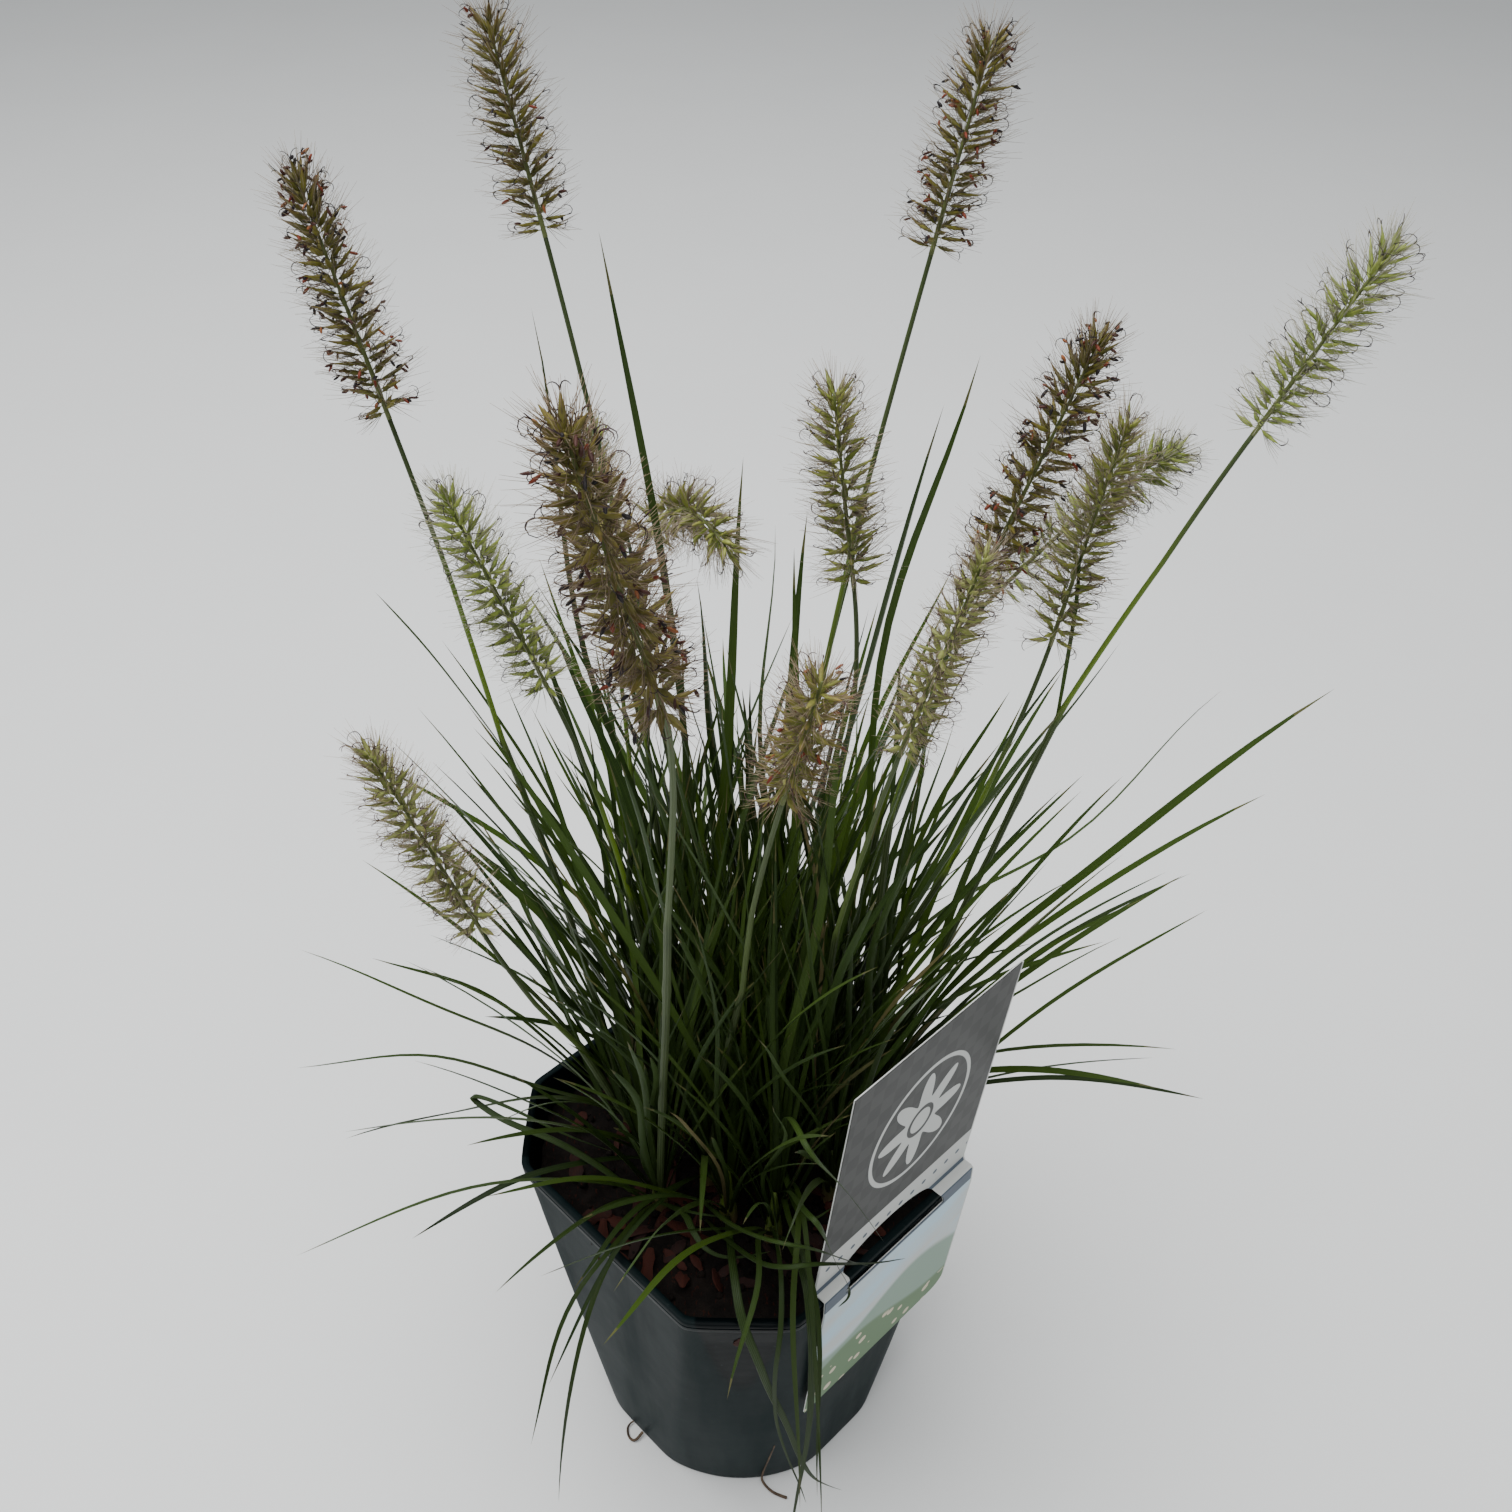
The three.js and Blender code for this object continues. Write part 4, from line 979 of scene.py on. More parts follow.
def bark_finish(settings):
    """Bark chips: reddish brown with a fine grain, darker in streaks."""
    finish = Finish("bark", Roughness=0.85, Specular_IOR_Level=0.25)
    place = finish.place()
    grain = finish.noise(finish.stretched(place, (500.0, 120.0, 500.0)), 1.0, 4.0, 0.65)
    shade = finish.times(finish.value("tone"), 0.5, finish.times(grain, 0.7))
    color = finish.mix(finish.fade(shade, 0.25, 0.95), settings.bark_dark, settings.bark)
    finish.link("Base Color", color)
    finish.bump(grain, 0.0006, 0.8)
    return finish.material


def root_finish():
    """Dry brown roots."""
    finish = Finish("dry root", Roughness=0.8)
    spot = finish.noise(finish.place(), 240.0, 3.0)
    finish.link("Base Color", finish.mix(finish.fade(spot, 0.3, 0.7), ROOT_DARK, ROOT_PALE))
    finish.bump(spot, 0.0004, 0.6)
    return finish.material


def label_finish(settings):
    """A printed card: a grey field with a rosette, a pale strip with a row of dots, and a soft garden."""
    finish = Finish("label card", Roughness=0.45, Specular_IOR_Level=0.12)
    turned = {"Vector": finish.place(), "Rotation": (0, 0, math.pi / 4), "Scale": (1 / MM, 1 / MM, 1 / MM)}
    out, along, height = finish.split(finish.node("ShaderNodeMapping", turned).outputs["Vector"])
    paper = finish.noise(finish.place(), 40.0, 3.0)
    tiles = finish.times(finish.wave(along, 0.5), finish.wave(height, 0.42))
    shade = finish.times(finish.edge(tiles, 0.0, 0.1), 0.35, finish.times(paper, 0.8))
    field = finish.mix(finish.fade(shade, 0.2, 0.9), settings.grey, settings.grey_light)
    field = finish.mix(rosette(finish, along, height), field, settings.paper)
    strip = finish.mix(dot_row(finish, along, height), settings.paper, settings.slate)
    garden = label_garden(finish, along, height, settings)
    color = finish.mix(finish.edge(height, FIELD_LOW, PRINT_SOFT), strip, field)
    for level, below in ((STRIPE_HIGH, settings.slate), (GARDEN_HIGH, garden)):
        color = finish.mix(finish.under(height, level - PRINT_SOFT, level + PRINT_SOFT), color, below)
    back = finish.math("GREATER_THAN", card_depth(finish, height, out), 0.5)
    color = finish.mix(back, settings.paper, color)
    edge = finish.fade(along, LABEL_TO - 1.0, LABEL_TO - 0.4)
    color = finish.mix(edge, color, settings.paper)
    finish.link("Base Color", color)
    finish.bump(finish.noise(finish.place(), 700.0, 2.0), 0.00003, 0.5)
    return finish.material


def card_depth(finish, height, out):
    """0 on the card's inner face and 1 on its outer face, at any height."""
    below = finish.times(height, LABEL_SPREAD, LABEL_OUTSIDE - LABEL_SPREAD * LABEL_BEND)
    above = finish.times(height, LABEL_LEAN, LABEL_INSIDE - LABEL_LEAN * LABEL_STEP)
    upper = finish.math("GREATER_THAN", height, LABEL_STEP + 1.2)
    lower = finish.math("MINIMUM", below, LABEL_OUTSIDE)
    span = finish.less(above, lower)
    inner = finish.times(upper, span, lower)
    return finish.math("DIVIDE", finish.less(out, inner), LABEL_THICK)


def rosette(finish, along, height):
    """1 on a plain rosette, where the way from its middle is under radius times (0.62 + 0.24 cos 8 angle).

    Heights count 0.8 times. A thin gap goes round its hub, and a thin ring round its petals.
    """
    x = finish.less(along, ROSETTE_PLACE[0])
    y = finish.times(finish.less(height, ROSETTE_PLACE[1]), 0.8)
    far = finish.length(x, y)
    angle = finish.times(finish.math("ARCTAN2", y, x), 8.0)
    petal = finish.times(finish.math("COSINE", angle), 0.24 * ROSETTE_RADIUS, 0.62 * ROSETTE_RADIUS)
    petals = finish.math("LESS_THAN", far, petal)
    hub = finish.between(far, 0.2 * ROSETTE_RADIUS, 0.27 * ROSETTE_RADIUS, 0.15)
    ring = finish.between(far, 0.96 * ROSETTE_RADIUS, 1.03 * ROSETTE_RADIUS, 0.15)
    return finish.math("MAXIMUM", finish.less(petals, hub), ring)


def dot_row(finish, along, height):
    """1 on plain dots in a row: the place along is wrapped to one pitch, and a dot is near its middle."""
    x = finish.less(finish.math("FLOORED_MODULO", along, DOTS_PITCH), DOTS_PITCH / 2)
    y = finish.less(height, DOTS_HEIGHT)
    return finish.math("LESS_THAN", finish.length(x, y), DOT_RADIUS)


def label_garden(finish, along, height, settings):
    """A soft sky over two rounded hills, with pale round blossoms on the nearer one."""
    cloud = finish.noise(finish.stretched(finish.place(), (18.0, 18.0, 45.0)), 1.0, 3.0)
    sky = finish.mix(finish.fade(cloud, 0.35, 0.75), settings.sky, settings.paper)
    over_far = finish.less(height, finish.times(finish.wave(along, 0.075), 7.0, FAR_HILL))
    over_near = finish.less(height, finish.times(finish.wave(along, 0.055, 2.3), 9.0, NEAR_HILL))
    color = finish.mix(finish.fade(over_far, 2.5, -2.5), sky, settings.hill_far)
    color = finish.mix(finish.fade(over_near, 2.0, -2.0), color, settings.hill_near)
    dots = finish.node("ShaderNodeTexVoronoi", {"Vector": finish.place(), "Scale": 130.0})
    bloom = finish.math("LESS_THAN", dots.outputs["Distance"], 0.28)
    bloom = finish.times(bloom, finish.fade(over_near, 0.0, -3.0))
    return finish.mix(bloom, color, settings.bloom)


# Settings


def color_setting(name, description, default):
    return bpy.props.FloatVectorProperty(
        name=name, description=description, default=default, subtype="COLOR", size=3, min=0.0, max=1.0
    )


def number_setting(name, description, default, least=0.0, **more):
    return bpy.props.FloatProperty(name=name, description=description, default=default, min=least, **more)


def length_setting(name, description, default_mm):
    return number_setting(name, description, default_mm * MM, unit="LENGTH", subtype="DISTANCE")


def share_setting(name, description, default):
    return number_setting(name, description, default, max=1.0, subtype="FACTOR")


def count_setting(name, description, default):
    return bpy.props.IntProperty(name=name, description=description, default=default, min=0)


class PotSettings(bpy.types.PropertyGroup):
    color: color_setting("Plastic", "Colour of the pot's plastic", (0.0067, 0.0129, 0.0136))
    worn: color_setting("Worn plastic", "Colour where the plastic is handled", (0.0062, 0.013, 0.0138))
    # This colour is also painted inside the pot, in part, as shade.
    panel: color_setting("Panel", "Colour of the corner panels and the rim", (0.0004, 0.002, 0.0025))
    dust_color: color_setting("Dust", "Colour of the dust on the wall", (0.021, 0.03, 0.031))
    dust: share_setting("Dust amount", "How much dust lies on the wall", 0.3)
    roughness: share_setting("Roughness", "Roughness of the plastic", 0.42)
    edge: length_setting("Edge rounding", "How softly the flat sides meet the round wall", 0.9)
    recess: length_setting("Panel recess", "How deep the corner panels lie in the wall", 0.5)


class SoilSettings(bpy.types.PropertyGroup):
    soil: color_setting("Soil", "Colour of the damp soil", (0.003, 0.0022, 0.0018))
    soil_light: color_setting("Dry soil", "Colour of the drier crumbs", (0.0075, 0.005, 0.0038))
    bark: color_setting("Bark", "Colour of the bark chips", (0.036, 0.0065, 0.0025))
    bark_dark: color_setting("Dark bark", "Colour of the bark's streaks", (0.012, 0.005, 0.004))
    chips: count_setting("Chips", "Number of bark chips", 90)
    crumbs: count_setting("Crumbs", "Number of soil crumbs", 260)


class LeafSettings(bpy.types.PropertyGroup):
    dark: color_setting("Dark green", "Colour of the darkest blades", (0.006, 0.019, 0.003))
    light: color_setting("Light green", "Colour of the lightest blades", (0.042, 0.08, 0.005))
    underside: color_setting("Underside", "Colour of the blades' undersides", (0.03, 0.06, 0.012))
    vein: color_setting("Vein", "Colour of the veins and the midrib", (0.055, 0.095, 0.02))
    foot: color_setting("Foot", "Colour at the blades' roots", (0.06, 0.07, 0.018))
    straw: color_setting("Straw", "Colour of dry tips and dead blades", (0.3, 0.23, 0.11))
    width: length_setting("Blade width", "Greatest width of the widest blades", 3.1)
    inner: count_setting("Inner blades", "Thin blades added to each tiller", 20)


class StemSettings(bpy.types.PropertyGroup):
    olive: color_setting("Olive", "Colour of the culms", (0.026, 0.042, 0.011))
    sage: color_setting("Sage", "Paler colour of the culms", (0.05, 0.072, 0.022))
    lime: color_setting("Lime", "Colour of the young culms", (0.14, 0.23, 0.014))
    pale: color_setting("Pale", "Colour of the ridges between grooves", (0.085, 0.115, 0.045))
    misty: color_setting("Misty", "Colour of the culms with a bloom of fine hairs", (0.11, 0.145, 0.06))
    husk: color_setting("Husk", "Colour of the papery sheaths at the soil", (0.11, 0.075, 0.035))
    foot_radius: length_setting("Foot radius", "Radius of a culm at its foot", 1.25)
    neck_radius: length_setting("Neck radius", "Radius of a culm below its head", 0.72)


class HeadSettings(bpy.types.PropertyGroup):
    spikelet_length: length_setting("Spikelet length", "Length of a spikelet", 9.0)
    spikelet_width: length_setting("Spikelet width", "Width of a spikelet", 1.85)
    pedicel: length_setting("Pedicel", "Length of the thread that carries a spikelet", 1.4)
    bristle_length: length_setting("Bristle length", "Length of the longest bristles", 16.0)
    bristle_radius: length_setting("Bristle radius", "Radius of a bristle at its root", 0.1)
    bristles: count_setting("Bristles", "Bristles on each spikelet", 12)
    pitch: length_setting("Pitch", "How far apart the spikelets follow each other", 0.67)


class LabelSettings(bpy.types.PropertyGroup):
    grey: color_setting("Grey", "Colour of the card's upper field", (0.037, 0.0375, 0.0365))
    grey_light: color_setting("Light grey", "Paler colour of the upper field", (0.058, 0.0585, 0.057))
    paper: color_setting("Paper", "Colour of the unprinted card", (0.58, 0.59, 0.57))
    slate: color_setting("Slate", "Colour of the stripe and the dots", (0.1, 0.125, 0.16))
    sky: color_setting("Sky", "Colour of the picture's sky", (0.5, 0.66, 0.76))
    hill_far: color_setting("Far hill", "Colour of the farther hill", (0.25, 0.35, 0.28))
    hill_near: color_setting("Near hill", "Colour of the nearer hill", (0.13, 0.21, 0.11))
    bloom: color_setting("Blossom", "Colour of the round blossoms", (0.62, 0.56, 0.42))


class StageSettings(bpy.types.PropertyGroup):
    floor: color_setting("Floor", "Colour of the floor", (0.79, 0.8, 0.795))
    lens: number_setting("Lens", "Focal length", 36.1, 1.0, unit="CAMERA")
    sky: number_setting("Sky", "Strength of the light all round", 0.34)
    key: number_setting("Key", "Power of the large lamp above", 91.0, unit="POWER")
    fill: number_setting("Fill", "Power of the lamp in front", 2.0, unit="POWER")


SETTINGS = {
    "grass_pot": PotSettings,
    "grass_soil": SoilSettings,
    "grass_leaf": LeafSettings,
    "grass_stem": StemSettings,
    "grass_head": HeadSettings,
    "grass_label": LabelSettings,
    "grass_stage": StageSettings,
}


# Pot


def softest(values, soft):
    """The least of several radii with its creases rounded: -soft log of the sum of exp(-value / soft)."""
    least = np.min(values, axis=0)
    total = sum(np.exp(-(value - least) / soft) for value in values)
    return least - soft * np.log(total)


def facing(angle, turn):
    """The cosine of the angle to the nearest of four faces, a quarter turn apart."""
    quarter = np.pi / 2
    return np.cos((angle - turn + quarter / 2) % quarter - quarter / 2)


def wall_lines(height):
    """How far out the round cone, the flat sides and the corner panels lie: straight lines up the pot."""
    panel = PANEL_START + PANEL_GROWTH * (height - PANEL_FADE)
    return BASE_ROUND + ROUND_GROWTH * height, BASE_FLAT + FLAT_GROWTH * height, panel


def wall_radius(angle, height, soft):
    """The pot's wall: the least of a round cone, four flat sides and four flat corner panels."""
    cone, flat, panel = wall_lines(height)
    round_wall = np.broadcast_to(cone, np.broadcast(angle, height).shape)
    return softest([round_wall, flat / facing(angle, np.pi / 4), panel / facing(angle, 0.0)], soft)


def panel_edge(side, height):
    """Above 0 on a corner panel: the cone's radius squared less the panel's and the way aside squared."""
    cone, _, panel = wall_lines(height)
    return cone**2 - panel**2 - side**2


def pot_profile():
    """Heights and outward offsets up the outside, over the rim and down the inside, in millimetres."""
    band_low, groove = POT_HEIGHT - BAND_HEIGHT, BAND_STEP - BAND_GROOVE
    foot = [(0.0, -1.6), (0.25, -0.7), (1.0, -0.1), (2.2, 0.0)]
    wall = [(height, 0.0) for height in np.linspace(8, band_low - 1.2, 34)]
    step = [(-0.6, 0.05), (-0.1, 0.5), (0.3, 1.1), (0.9, BAND_STEP), (3.3, BAND_STEP)]
    step += [(3.6, groove), (4.0, groove), (4.3, BAND_STEP)]
    band = [(band_low + rise, offset) for rise, offset in step]
    rim = [(-0.9, BAND_STEP), (-0.3, BAND_STEP - 0.25), (0.0, BAND_STEP - 0.9)]
    rim += [(0.0, -WALL + 0.7), (-0.3, -WALL + 0.15), (-1.0, -WALL)]
    band += [(POT_HEIGHT + rise, offset) for rise, offset in rim]
    inside = [(height, -WALL) for height in np.linspace(POT_HEIGHT - 6, FLOOR + 1.5, 12)]
    inside += [(FLOOR + 0.4, -WALL - 0.5), (FLOOR, -WALL - 1.6)]
    return np.array(foot + wall + band + inside)


def pot_body(settings):
    """The pot as one skin of rings: radius = wall_radius(angle, height) + offset, closed at both middles."""
    height, offset = (column[:, None] for column in pot_profile().T)
    angle = full_turn(POT_SIDES)
    radius = wall_radius(angle, height, settings.edge / MM * 0.5) + offset
    side = radius * np.minimum(abs(np.cos(angle)), abs(np.sin(angle)))
    sunk = (height < RECESS_TOP) & (offset > -WALL)
    radius = radius - settings.recess / MM * sunk * smooth_step(*PANEL_SOFT, panel_edge(side, height))
    surface = Surface()
    starts, ends = np.array([[0.0, 0.0, 0.0]]), np.array([[0.0, 0.0, FLOOR]])
    surface.add(*skins(polar(angle, radius, height)[None], starts, ends, np.linspace(0, 1, len(height))))
    return surface.piece("nursery_pot", pot_finish(settings), sharp_angle=math.radians(50))


def drill(pot, points, ways, radius, length):
    """Cuts round holes: one tube at each point, along its way, taken away from the pot."""
    surface = Surface()
    paths = points[:, None] + ways[:, None] * np.array([-0.5, -0.25, 0.25, 0.5])[None, :, None] * length
    guide = np.where(abs(ways[:, 2:3]) > 0.5, [[1.0, 0.0, 0.0]], [[0.0, 0.0, 1.0]])
    add_tubes(surface, paths, np.full(paths.shape[:2], radius), 20, guide[:, None])
    cutter = surface.piece("cutter", pot.data.materials[0])
    modifier = pot.modifiers.new("holes", "BOOLEAN")
    modifier.operation = "DIFFERENCE"
    modifier.solver = "EXACT"
    modifier.object = cutter
    bpy.context.view_layer.update()
    evaluated = pot.evaluated_get(bpy.context.evaluated_depsgraph_get())
    mesh = bpy.data.meshes.new_from_object(evaluated)
    pot.modifiers.clear()
    pot.data = mesh
    bpy.data.objects.remove(cutter)


def finished(piece, slot, *nodes):
    """Lets a piece ride on the plant's body and hides the solids that it stands for; its slot is not used."""
    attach(piece, BODY)
    if nodes:
        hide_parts(*nodes)


class GRASS_OT_pot(bpy.types.Operator):
    """Add the nursery pot with its rim band, corner panels, drain holes and base notches"""

    bl_idname = "grass.add_pot"
    bl_label = "Nursery pot"

    def execute(self, context):
        pot = pot_body(context.scene.grass_pot)
        holes = polar(full_turn(DRAIN_HOLES, 0.5), 1.0, 0.0) * DRAIN_RING
        drill(pot, holes, np.tile([0.0, 0.0, 1.0], (DRAIN_HOLES, 1)), DRAIN_RADIUS, 12.0)
        sides = [45 + 90 * quarter + aside for quarter in range(4) for aside in (-NOTCH_ASIDE, NOTCH_ASIDE)]
        outward = polar(np.radians(sides), 1.0, 0.0)
        drill(pot, outward * BASE_ROUND, outward, NOTCH_RADIUS, 5.0)
        pot.data.shade_smooth()
        pot.data.set_sharp_from_angle(angle=math.radians(35))
        finished(pot, "pot_plastic", "pot")
        return {"FINISHED"}


# Soil


def soil_height(x, y):
    """The soil's top: SOIL_TOP plus relief times a long wave product and half a short slanted wave."""
    long = np.sin(x * 0.09 + 1.1) * np.cos(y * 0.08 - 0.6)
    short = np.sin(x * 0.21 - y * 0.13) * 0.5
    return SOIL_TOP + SOIL_RELIEF * (long + short)


def crumble(x, y, seed):
    """Small lumps: a sum of slanted sine products, each octave 1.9 times finer and 0.62 times lower."""
    random = np.random.default_rng(seed)
    total = 0.0
    for octave in range(5):
        pitch = 0.35 * 1.9**octave
        turn, phase, other = random.uniform(0, 2 * np.pi, 3)
        across = x * np.cos(turn) + y * np.sin(turn)
        down = y * np.cos(turn) - x * np.sin(turn)
        total = total + 0.62**octave * np.sin(pitch * across + phase) * np.sin(pitch * 1.13 * down + other)
    return total


def soil_body(settings):
    """The root ball and soil: rings from the middle out to the wall, then down to the floor."""
    angle = full_turn(SOIL_SIDES)
    edge = wall_radius(angle, np.array([[SOIL_TOP]]), SOIL_SOFT) - WALL - 0.25
    radius = edge * np.linspace(0.02, 1.0, SOIL_RINGS)[:, None]
    x, y = radius * np.cos(angle), radius * np.sin(angle)
    lumps = 1.1 * crumble(x, y, 11) + 0.8 * crumble(2.1 * x, 2.1 * y, 12)
    top = polar(angle, radius, soil_height(x, y) + lumps)
    down = np.array([[SOIL_TOP - 14], [FLOOR + 1.8], [FLOOR + 0.4]])
    play = WALL + np.array([[0.3], [0.6], [2.2]])
    low = polar(angle, wall_radius(angle, down, SOIL_SOFT) - play, down)
    rings = np.concatenate([top, low])[::-1]
    foot, middle = [[0.0, 0.0, FLOOR + 0.4]], [[0.0, 0.0, top[0, :, 2].mean()]]
    surface = Surface()
    surface.add(*skins(rings[None], foot, middle, np.linspace(0, 1, len(rings))))
    return surface.piece("soil_surface", soil_finish(settings))


def scattered(random, count, near, far):
    """Seeded places on the soil, evenly spread between two radii, with the soil's height there."""
    angle = random.uniform(0, 2 * np.pi, count)
    radius = np.sqrt(random.uniform(near**2, far**2, count))
    x, y = radius * np.cos(angle), radius * np.sin(angle)
    return np.stack([x, y, soil_height(x, y)], axis=1)


# A chip that sticks to the outside of the front corner panel: points along it, in millimetres.
STUCK_CHIP = [(-1.6, -81.9, 143.4), (-0.6, -82.3, 146.6), (0.8, -82.8, 149.8)]


def chip_pile(settings):
    """Bark chips: flat bent tubes, each ring of a drawn size, that narrow by half as 1 - 4 |share|^3."""
    random = np.random.default_rng(CHIP_SEED)
    count = settings.chips
    middle = scattered(random, count, 14, 68) + [0, 0, 1.2]
    turn = random.uniform(0, 2 * np.pi, count)
    tilt = random.normal(0, 0.28, count)
    way = polar(turn, np.cos(tilt), np.sin(tilt))
    length = random.uniform(*CHIP_LENGTHS, count)
    width = random.uniform(*CHIP_WIDTHS, count)
    share = np.linspace(-0.5, 0.5, 6)
    paths = middle[:, None] + way[:, None] * (share[None, :, None] * length[:, None, None])
    paths[:, :, 2] += random.uniform(-1.6, 0.8, count)[:, None] * (4 * share**2)[None]
    radii = width[:, None] * random.uniform(0.6, 1.2, (count, 6)) * (1 - 0.5 * (2 * abs(share)) ** 3)
    surface = Surface()
    upright = np.array([0.0, 0.0, 1.0]) + random.normal(0, 0.3, (count, 1, 3))
    add_tubes(surface, paths, radii, 7, upright, flatten=0.26, reach=0.4, tone=random.uniform(0, 1, count))
    radii = np.array([[0.9, 1.7, 1.9, 1.5, 1.7, 0.8]])
    outward, pale = np.array([0.0, -1.0, 0.1]), np.array([0.9])
    add_tubes(surface, rounded(STUCK_CHIP, 1)[None], radii, 7, outward, flatten=0.26, reach=0.3, tone=pale)
    return surface.piece("bark_chips", bark_finish(settings), sharp_angle=math.radians(30))


def crumb_pile(settings):
    """Soil crumbs: tubes with radius = size times the root of 1 - share^2, made uneven, so small balls."""
    random = np.random.default_rng(CRUMB_SEED)
    count = settings.crumbs
    middle = scattered(random, count, 4, 70) + [0, 0, 0.7]
    size = random.uniform(*CRUMB_SIZES, count)
    share = np.linspace(-0.8, 0.8, 4)
    way = unit(random.normal(0, 1, (count, 3)) + [0, 0, 0.01])
    paths = middle[:, None] + way[:, None] * (share[None, :, None] * size[:, None, None])
    radii = size[:, None] * np.sqrt(1 - share**2)[None] * random.uniform(0.75, 1.2, (count, 4))
    surface = Surface()
    guide = unit(np.cross(way, [0.3, 0.5, 0.8]))[:, None]
    add_tubes(surface, paths, radii, 6, guide, reach=0.2, tone=random.uniform(0, 0.5, count))
    return surface.piece("soil_crumbs", soil_finish(settings))


class GRASS_OT_soil(bpy.types.Operator):
    """Add the potting soil with its crumbs and bark chips"""

    bl_idname = "grass.add_soil"
    bl_label = "Soil and bark"

    def execute(self, context):
        settings = context.scene.grass_soil
        finished(soil_body(settings), "potting_soil", "soil")
        finished(chip_pile(settings), "potting_soil")
        finished(crumb_pile(settings), "potting_soil")
        return {"FINISHED"}


# Leaves


PAINTED_SHADE_TOP = 270  # below this height the blades get painted shade, darkest at the pot's rim
# the colour factor of the painted shade at the pot's rim
LOW_PAINTED_SHADE = (0.52, 0.52, 0.52)
CURLED_TONE = 0.3
INNER_LONGEST = 208  # length of an upright thin blade, and those that lean are shorter
FLAG_LENGTHS = (55, 95)
FLAG_STEPS = 50
OPEN_SIDE = math.radians(235)  # where the thin blades stand up, so that the soil shows


def inner_leaves(random, place, count):
    """Extra thin blades of one tiller, drawn as the others are, but shorter and more upright."""
    made = []
    x, y = place - CROWN_PLACE
    outward, far = math.atan2(y, x), math.hypot(x, y) / CROWN_RADIUS
    while len(made) < count:
        angle = outward + random.uniform(-np.pi, np.pi)
        facing_out = 0.5 + 0.5 * math.cos(angle - outward)
        open_side = max(0, math.cos(angle - OPEN_SIDE))
        lean = 4 + random.uniform(8, 60) * facing_out * far * (1 - 0.6 * open_side) + random.uniform(0, 10)
        long = (INNER_LONGEST - 1.1 * lean) * random.uniform(0.45, 1.0)
        arch = 3 + lean * random.uniform(0.2, 0.5)
        root = leaf_root(place, angle) + [0, 0, random.uniform(0, 12)]
        controls = leaf_controls(root, root + leaf_way(angle, lean, long), arch)
        if not leaf_meets_holder(bezier(controls, LINE_STEPS)):
            made.append(controls)
    return made


def culm_collar(number):
    """The share of the way up a culm where its sheath ends, spread between 0.5 and 0.66."""
    return 0.5 + 0.16 * ((number * 0.618) % 1)


def culm_line(place, head, number, steps):
    """A culm's curve with a knee at the collar: pushed aside by KNEE, less the further it is from there."""
    line = bezier(culm_controls(place, head), steps)
    share = np.arange(steps + 1) / steps
    aside = unit(np.cross(line[-1] - line[0], [math.cos(2.4 * number), math.sin(2.4 * number), 0.1]))
    near = np.clip(1 - abs(share - culm_collar(number)) / 0.2, 0, 1)
    return line + aside * (KNEE * near)[:, None]


def flag_leaf(random, place, head, number):
    """The blade that leaves a culm at its collar, at a small angle."""
    line = culm_line(place, head, number, FLAG_STEPS)
    start = int(FLAG_STEPS * culm_collar(number))
    way = unit(line[start + 1] - line[start])
    aside = unit(np.cross(way, random.normal(0, 1, 3)))
    aim = unit(way + aside * random.uniform(0.16, 0.4))
    long = random.uniform(*FLAG_LENGTHS)
    tip = line[start] + long * unit(aim + [0, 0, -0.05])
    middle = line[start] + 0.5 * long * unit(aim + 0.25 * way)
    return np.array([line[start], middle, tip])


def curled_leaves(material):
    """Leaves along rounded lines: flat tubes, as wide at each share of the way as a blade is."""
    surface = Surface()
    tone = np.array([CURLED_TONE])
    for width, face, stops in CURLED_LEAVES:
        path = rounded(stops, 3)
        radii = width / 2 * np.maximum(blade_share(np.linspace(0, 1, len(path))), 0.05)
        guide = np.array([0.0, 0.0, face]) if face else np.cross(np.gradient(path, axis=0), [1.0, 0.0, 0.0])
        add_tubes(surface, path[None], radii[None], 8, guide, 0.12, 0.2, tone=tone, dry=0 * tone)
    return surface.piece("curled_leaves", material)


# Each kind of blade: the least and the greatest share of the full width, and the steps along it.
OUTER_BLADES = (0.62, 1.0, 20)
INNER_BLADES = (0.46, 0.88, 14)
FLAG_BLADES = (0.45, 0.7, 14)
USUAL_LENGTH = 210  # longer blades are wider, and shorter ones thinner, by up to 0.15
FRESH_SHARE = 0.97  # of the inner blades, the others are partly dry


def leaf_fan(settings, owner, place, culms, leaves, material):
    """One tiller's blades: those of its solid, the thin inner ones and the flags of its culms."""
    random = np.random.default_rng(SEED + owner)
    outer = [controls for who, controls in leaves if who == owner]
    inner = inner_leaves(random, place, settings.inner)
    flags = [flag_leaf(random, place, head, n) for n, (who, head) in enumerate(culms) if who == owner]
    surface = Surface()
    for group, (low, high, steps) in ((outer, OUTER_BLADES), (inner, INNER_BLADES), (flags, FLAG_BLADES)):
        if not group:
            continue
        count = len(group)
        ends = np.asarray(group)
        long = np.linalg.norm(ends[:, 2] - ends[:, 0], axis=1)
        dry = (random.uniform(0, 1, count) > FRESH_SHARE) * random.uniform(0.2, 0.6, count) * (group is inner)
        wide = random.uniform(low, high, count) * np.clip(long / USUAL_LENGTH, 0.85, 1.15)
        tone = random.uniform(0, 1, count)
        twist = random.normal(0, 1.1, count)
        sway = random.normal(0, 0.018, count) * long
        add_blades(surface, group, settings.width / MM * wide, tone, dry, twist, sway, steps)
    return surface.piece(f"leaf_fan_{owner + 1:02d}", material, sharp_angle=math.radians(70))


class GRASS_OT_leaves(bpy.types.Operator):
    """Add the leaf blades, a fan of them for each tiller, and the curled leaves"""

    bl_idname = "grass.add_leaves"
    bl_label = "Leaf fans"

    def execute(self, context):
        settings = context.scene.grass_leaf
        check_tuft()
        places, culms, leaves = grow_tuft()
        material = leaf_finish(settings)
        for owner, place in enumerate(places):
            fan = leaf_fan(settings, owner, place, culms, leaves, material)
            finished(fan, "leaf", f"leafy_stem_{owner + 1:02d}")
        finished(curled_leaves(material), "leaf")
        return {"FINISHED"}


